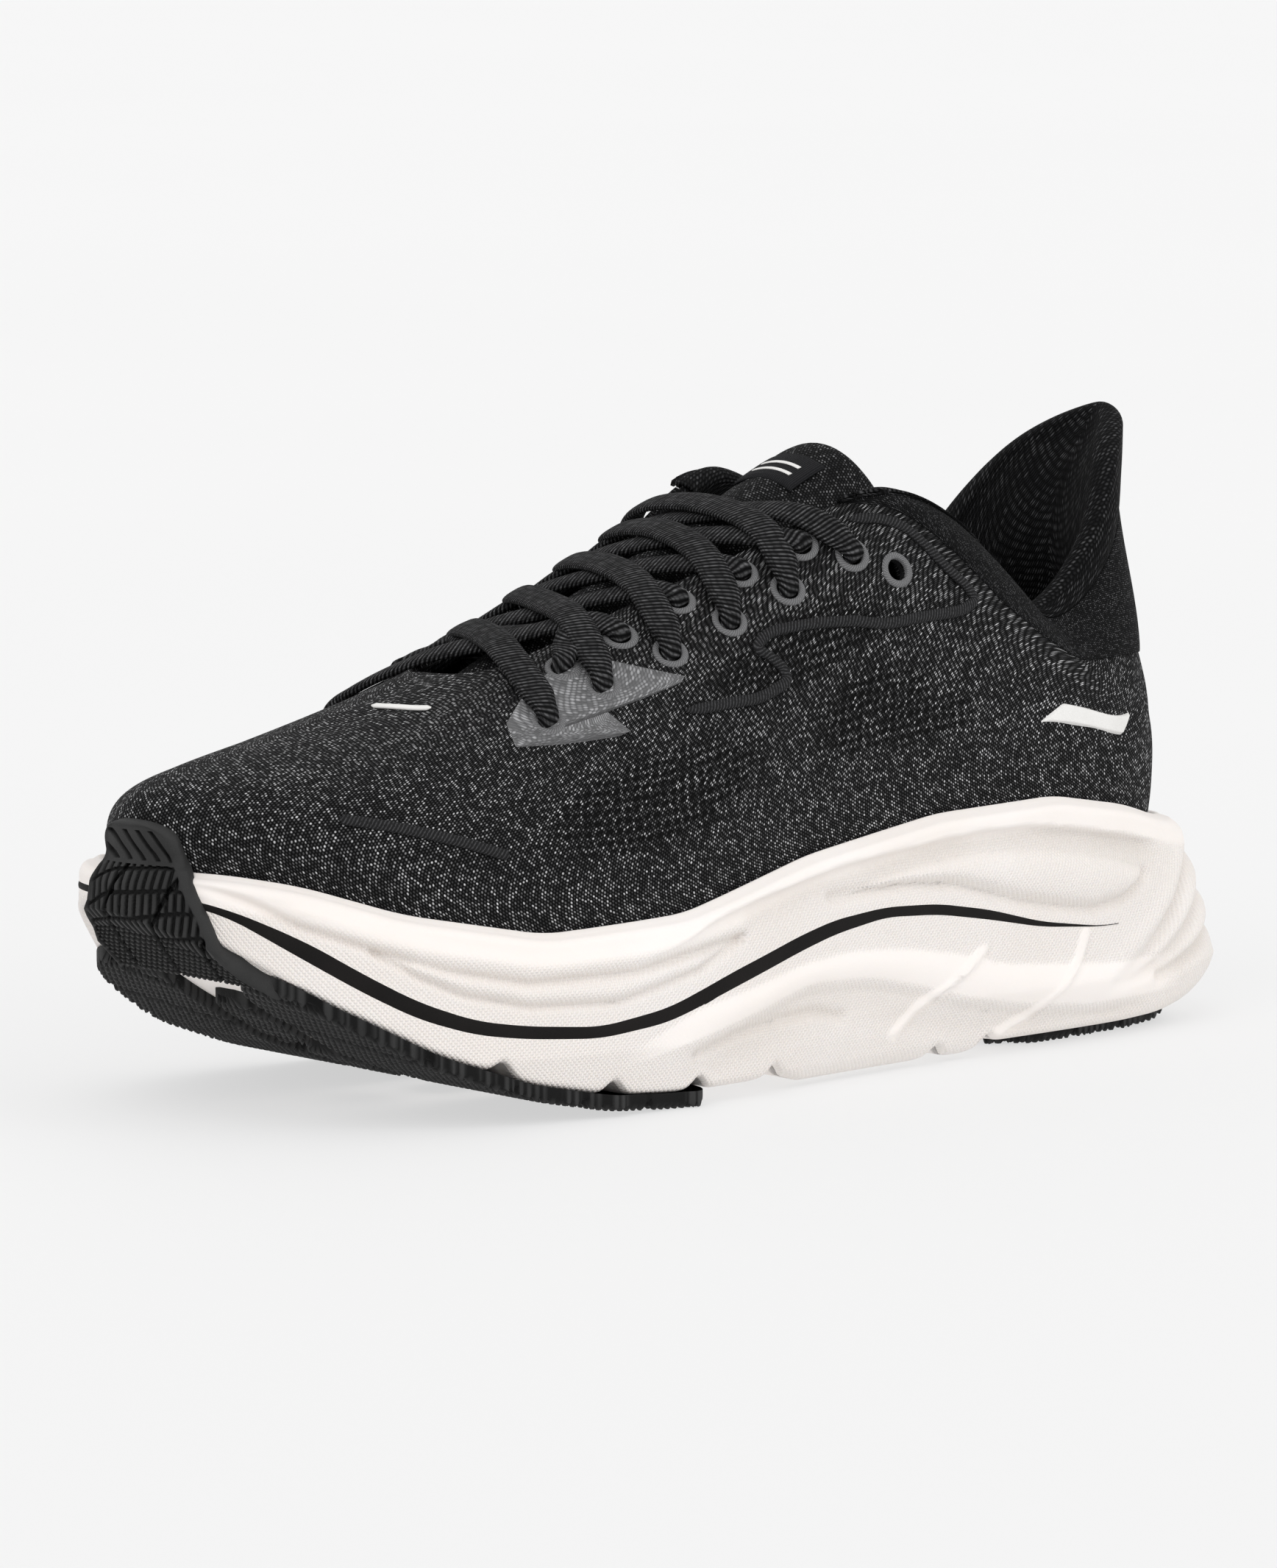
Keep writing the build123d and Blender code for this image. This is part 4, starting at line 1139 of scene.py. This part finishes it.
def tongue():
    """Two fabric faces over the tongue's foam, rounded into each other at its free edge."""
    x = np.linspace(TONGUE_TOE, TONGUE_END, 200)
    ends = np.clip(np.minimum((x - TONGUE_TOE) / 6, (TONGUE_END - x) / 3.2), 0, 1)
    plump = np.sqrt(1 - (1 - ends) ** 2)
    roll = 1 + 0.35 * smooth(38, 46, x)
    half = tongue_half(x) * (1 - 0.18 * (1 - plump)) * (1 - 0.10 * smooth(40, 50, x))
    turn = np.linspace(0, pi, 45)
    side_shape = np.sign(np.cos(turn)) * abs(np.cos(turn)) ** 0.85
    lift_shape = np.sin(turn) ** 0.5
    cover = ("tongue_cover", "tongue_foam", "tongue_top_cover", "tongue_top_foam")
    lining = ("tongue_lining", "tongue_top_lining")
    for name, way, nodes, material in (
        ("tongue_cover_fabric", 1, cover, "tongue"),
        ("tongue_lining_fabric", -1, lining, "lining"),
    ):
        y = half[:, None] * side_shape[None]
        middle = tongue_top(x[:, None], y) - 2.7
        quilt = 0.35 * np.cos(y / 3.2) * smooth(0.2, 0.6, lift_shape)[None] * smooth(45, 30, x)[:, None]
        thick = (2.7 * roll * plump)[:, None] * lift_shape[None] + quilt * (way > 0) * plump[:, None]
        z = middle + way * np.maximum(thick, 0)
        points = np.stack([np.broadcast_to(x[:, None], y.shape), y, z], -1)
        if way < 0:
            points = points[:, ::-1]
        piece = grid_piece(name, points, M[material], body=None, weave=walked(points))
        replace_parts(piece, *nodes)
        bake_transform(piece)
    label()


def label():
    """A woven tab stitched across the tongue, with two plain bars."""
    x = np.linspace(31, 42, 24)[:, None]
    y = np.linspace(-10, 10, 40)[None]
    x, y = np.broadcast_arrays(x, y)
    edge = np.minimum(np.minimum(x - 31, 42 - x), 10 - abs(y))
    z = tongue_top(x, y) + 0.25 + 0.5 * smooth(0, 1.0, edge)
    points = np.stack([x, y, z], -1)
    tab = grid_piece("tongue_label_cloth", points, M["label"], body="tongue_top", weave=walked(points))
    thicken(tab, 0.5)
    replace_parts(tab, "tongue_label")
    for i, place in enumerate((34.2, 37.0)):
        bar_y = np.linspace(-6.5, 6.5, 30)
        path = np.column_stack([0 * bar_y + place, bar_y, tongue_top(place, bar_y) + 0.8])
        name, way = f"tongue_label_bar_{i + 1}", np.array([[1.0, 0, 0.4]])
        bar = tube_piece(name, path, way, 0.55, 0.15, M["mark"], body="tongue_top", sides=8)


# ---------------------------------------------------------------- lace

LACE_LOW = 1.2  # the lace's middle above what it lies on
LACE_OVER = 3.4  # and where it crosses over another strap
LACE_DEEP = LINING_DEPTH[1] + 2.2  # how deep it runs inside the upper


def throat_edge(x, side):
    """The point of the top edge at x, and its outward direction."""
    stations = np.linspace(0.02, 0.31, 300)
    if side > 0:
        stations = 1 - stations
    best = stations[np.argmin(abs(skin(stations, 1.0)[:, 0] - x))]
    return skin(best, 1.0), outward(best, 0.98)


def strap(start, start_side, end, over):
    """Waypoints from an outer eyelet, over the tongue, to an eyelet of the other side."""
    a = skin(*start) + LACE_LOW * outward(*start)
    b = skin(*end) + LACE_LOW * outward(*end)
    rims = []
    for side in (start_side, -start_side):
        x_rim = a[0] + (side * 19 - a[1]) / (b[1] - a[1]) * (b[0] - a[0])
        edge, out = throat_edge(x_rim, side)
        rims.append(edge + (LACE_LOW + (1.2 if over else 0.0)) * out)
    middle = (rims[0] + rims[1]) / 2
    ridge = tongue_top(middle[0], middle[1]) + (LACE_OVER if over else LACE_LOW)
    middle[2] = max(ridge, middle[2] + (1.5 if over else 0.3))
    return [a, rims[0], middle, rims[1], b]


def lace_route():
    """The whole lace: across at the lowest inner eyelets, then up the throat, crossing at each row."""
    def climb(side):
        points = [inside(*on_side(INNER_EYELETS[0], side), LACE_DEEP)]
        for row in range(5):
            start = on_side(OUTER_EYELETS[row], side)
            end = on_side(INNER_EYELETS[row + 1] if row < 4 else OUTER_EYELETS[5], -side)
            over = strap(start, side, end, side < 0)
            points += [inside(*start, LACE_DEEP), *over, inside(*end, LACE_DEEP)]
            side = -side
        t, h = end
        points.append(inside(t + 0.012 * side, h - 0.13, LACE_DEEP + 0.8))
        return points

    sides = []
    for t, h in (on_side(INNER_EYELETS[0], 1), INNER_EYELETS[0]):
        places = ((h, LACE_LOW), (0.5 + h / 2, 1.6), (0.985, 1.4))
        sides.append([inside(t, height, -rise) for height, rise in places])
    middle = (sides[0][-1] + sides[1][-1]) / 2
    bar = [*sides[0], middle, *sides[1][::-1]]
    return [*reversed(climb(1)), *bar, *climb(-1)]


def lace():
    """One oval, ribbed lace; it narrows where it passes through an eyelet."""
    route = np.array(lace_route())
    path = through(route, 2700)
    holes = [skin(*place) for side in (-1, 1) for place in eyelets(side)[:-1]]
    gap = np.min([np.linalg.norm(path - hole, axis=-1) for hole in holes], axis=0)
    squeeze = smooth(2.0, 7.0, gap)
    width = 2.6 + 1.2 * squeeze
    thick = 1.4 - 0.3 * squeeze
    way = np.array([[1.0, 0.0, 0.38]])
    piece = tube_piece("lace_braid", path, way, width, thick, M["lace"], sides=20, power=0.72)
    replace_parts(piece, "lace")


# ---------------------------------------------------------------- details laid on the upper

QUARTER_LINE = [
    (0.276, 0.925), (0.285, 0.905), (0.294, 0.872), (0.300, 0.810), (0.305, 0.733), (0.311, 0.662),
    (0.310, 0.613), (0.299, 0.572), (0.283, 0.566), (0.267, 0.613), (0.251, 0.660), (0.240, 0.680),
    (0.235, 0.660), (0.239, 0.610), (0.243, 0.557), (0.242, 0.520), (0.235, 0.514), (0.225, 0.532),
    (0.209, 0.562),
]
TOE_LINE = [(0.157, 0.263), (0.140, 0.300), (0.120, 0.318), (0.100, 0.315)]
VAMP_LINE = [(0.030, 0.880), (0.060, 0.872), (0.090, 0.850)]
FILM_LEFT = [(0.163, 0.880), (0.145, 0.823), (0.143, 0.695), (0.151, 0.603), (0.188, 0.559)]
FILM_RIGHT = [(0.165, 0.884), (0.210, 0.660), (0.209, 0.645), (0.183, 0.640), (0.191, 0.562)]
HEEL_BADGE = [(0.327, 0.235), (0.375, 0.260), (0.388, 0.365), (0.339, 0.320)]
# Radius and height round an eyelet ring's section.
RING_SECTION = [(2.6, -0.4), (2.6, 0.45), (2.9, 0.65), (3.8, 0.65), (4.2, 0.3), (4.2, -0.3)]


def cord_on_skin(name, places, half_width, half_height, material, count=260):
    """A raised line of thread laid on the upper."""
    t, h = through(places, count).T
    steps = np.arange(count)
    ends = np.clip(np.minimum(steps, steps[::-1]) / 6, 0.15, 1) ** 0.5
    normal = outward(t, h)
    base = skin(t, h) + 0.35 * normal
    side = np.cross(np.gradient(base, axis=0), normal)
    width, height = half_width * ends, half_height * ends
    return tube_piece(name, base, side, width, height, material, sides=12, power=0.9)


def eyelet_ring(name, place):
    """A flat ring of dense thread round one eyelet."""
    turn = np.linspace(0, 2 * pi, 49)[:, None]
    t0, h0 = place
    step_t = (skin(t0 + 1e-3, h0) - skin(t0 - 1e-3, h0)) / 2e-3
    step_h = (skin(t0, h0 + 1e-3) - skin(t0, h0 - 1e-3)) / 2e-3
    frame_u, normal = unit(step_t), outward(t0, h0)
    frame_v = np.cross(normal, frame_u)
    to_grid = np.linalg.pinv(np.stack([step_t, step_h], 1))
    radius, height = np.array(RING_SECTION).T[:, None]
    spoke = np.cos(turn)[..., None] * frame_u + np.sin(turn)[..., None] * frame_v
    move = (spoke * radius[..., None]) @ to_grid.T
    t, h = t0 + move[..., 0], h0 + move[..., 1]
    points = inside(t, h, -np.broadcast_to(height, t.shape))
    weave = np.stack(np.broadcast_arrays(turn * 4, radius), -1)
    piece = grid_piece(name, points, M["ring"], weave=weave)
    return piece


def cornered(line, count):
    """Evenly divided points along straight runs."""
    line = np.array(line)
    walk = np.concatenate([[0], np.cumsum(np.linalg.norm(np.diff(line, axis=0), axis=-1))])
    even = np.linspace(0, walk[-1], count)
    return np.stack([np.interp(even, walk, line[:, k]) for k in range(2)], -1)


def film(name, side):
    """The bonded film beside the lowest eyelets."""
    left, right = (cornered(line, 90) for line in (FILM_LEFT, FILM_RIGHT))
    share = np.linspace(0, 1, 30)[None, :, None]
    spots = left[:, None] * (1 - share) + right[:, None] * share
    t, h = spots[..., 0], spots[..., 1]
    if side > 0:
        t = 1 - t + MEDIAL_SHIFT
    edge = np.minimum(np.minimum(share[..., 0], 1 - share[..., 0]) * 20, 1) + 0 * t
    points = inside(t, h, -(0.05 + 0.45 * smooth(0, 0.5, edge)))
    if side > 0:
        points = points[:, ::-1]
    grid_piece(name, points, M["film"], weave=walked(points))


def patch_on_skin(name, corners, lift, material):
    """A thin raised shape with rounded edges between four places on the upper."""
    u = np.linspace(0, 1, 60)[:, None]
    v = np.linspace(0, 1, 24)[None]
    a, b, c, d = (np.array(corner) for corner in corners)
    u3, v3 = u[..., None], v[..., None]
    spots = (a * (1 - u3) + b * u3) * (1 - v3) + (d * (1 - u3) + c * u3) * v3
    edge = np.minimum(np.minimum(u, 1 - u) * 30, np.minimum(v, 1 - v) * 8)
    stand = lift * smooth(0, 1, edge) - 0.15
    t, h = spots[..., 0], spots[..., 1]
    points = inside(t, h, -stand)
    return grid_piece(name, points, material, weave=walked(points))


def details():
    for name, side in (("lateral", -1), ("medial", 1)):
        rings = [eyelet_ring(f"eyelet_ring_{name}_{i}", place) for i, place in enumerate(eyelets(side), 1)]
        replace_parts(rings[0], f"eyelet_rings_{name}")
        places = QUARTER_LINE if side < 0 else [(1 - t, h) for t, h in QUARTER_LINE]
        line = cord_on_skin(f"quarter_cord_{name}", places, 1.35, 0.75, M["thread"], 420)
        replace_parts(line, f"quarter_line_{name}")
        film(f"eyestay_film_{name}", side)
    toe = cord_on_skin("toe_cord_lateral", TOE_LINE, 1.3, 0.6, M["thread"])
    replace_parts(toe, "toe_line_lateral")
    bar = cord_on_skin("vamp_bar_white", VAMP_LINE, 1.0, 0.45, M["mark"], 90)
    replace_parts(bar, "vamp_bar")
    badge = patch_on_skin("heel_badge_white", HEEL_BADGE, 0.9, M["mark"])
    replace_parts(badge, "heel_badge_lateral")


# ---------------------------------------------------------------- inside the shoe

def insole():
    """The sockliner: a cupped foam bed and its cloth, riding together when it lifts."""
    stations = np.linspace(0, 1, 361)
    edge = RAILS[0](stations)[:, :2] - 5.4 * plan_normal(RAILS[0], stations)
    middle = np.stack([np.clip(edge[:, 0], -110, 110) * 0.93, 0 * edge[:, 0]], -1)
    for name, node, low, high, material, slot in (
        ("insole_foam_bed", "insole_foam", 1.1, 5.0, "insole", "insole_foam"),
        ("insole_cloth_top", "insole_cover", 5.05, 5.6, "cloth", "insole_cloth"),
    ):
        rows = []
        for level, shares in ((low, (0, 0.4, 0.8, 0.97)), (high, (1.0, 0.98, 0.9, 0.7, 0.35, 0))):
            for share in shares:
                plan = middle + share * (edge - middle)
                rows.append(np.column_stack([plan, along_line(FOOTBED_LINE, plan[:, 0]) + level]))
        piece = shell_piece(name, np.stack(rows), M[material], body="insole")
        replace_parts(piece, node)


def cad_finishes():
    """The stiff CAD parts inside the shoe keep their shapes and get their finishes."""
    finishes = {
        "strobel_board": "board", "toe_puff": "stiff", "heel_counter": "stiff", "lace_tips": "tip",
        "eyestay_backing_lateral": "stiff", "eyestay_backing_medial": "stiff",
    }
    for node, finish in finishes.items():
        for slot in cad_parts[node].material_slots:
            slot.material = M[finish]


camera()
studio()
midsole()
outsole()
upper_knit()
forefoot_lining()
collar()
tongue()
lace()
details()
insole()
cad_finishes()
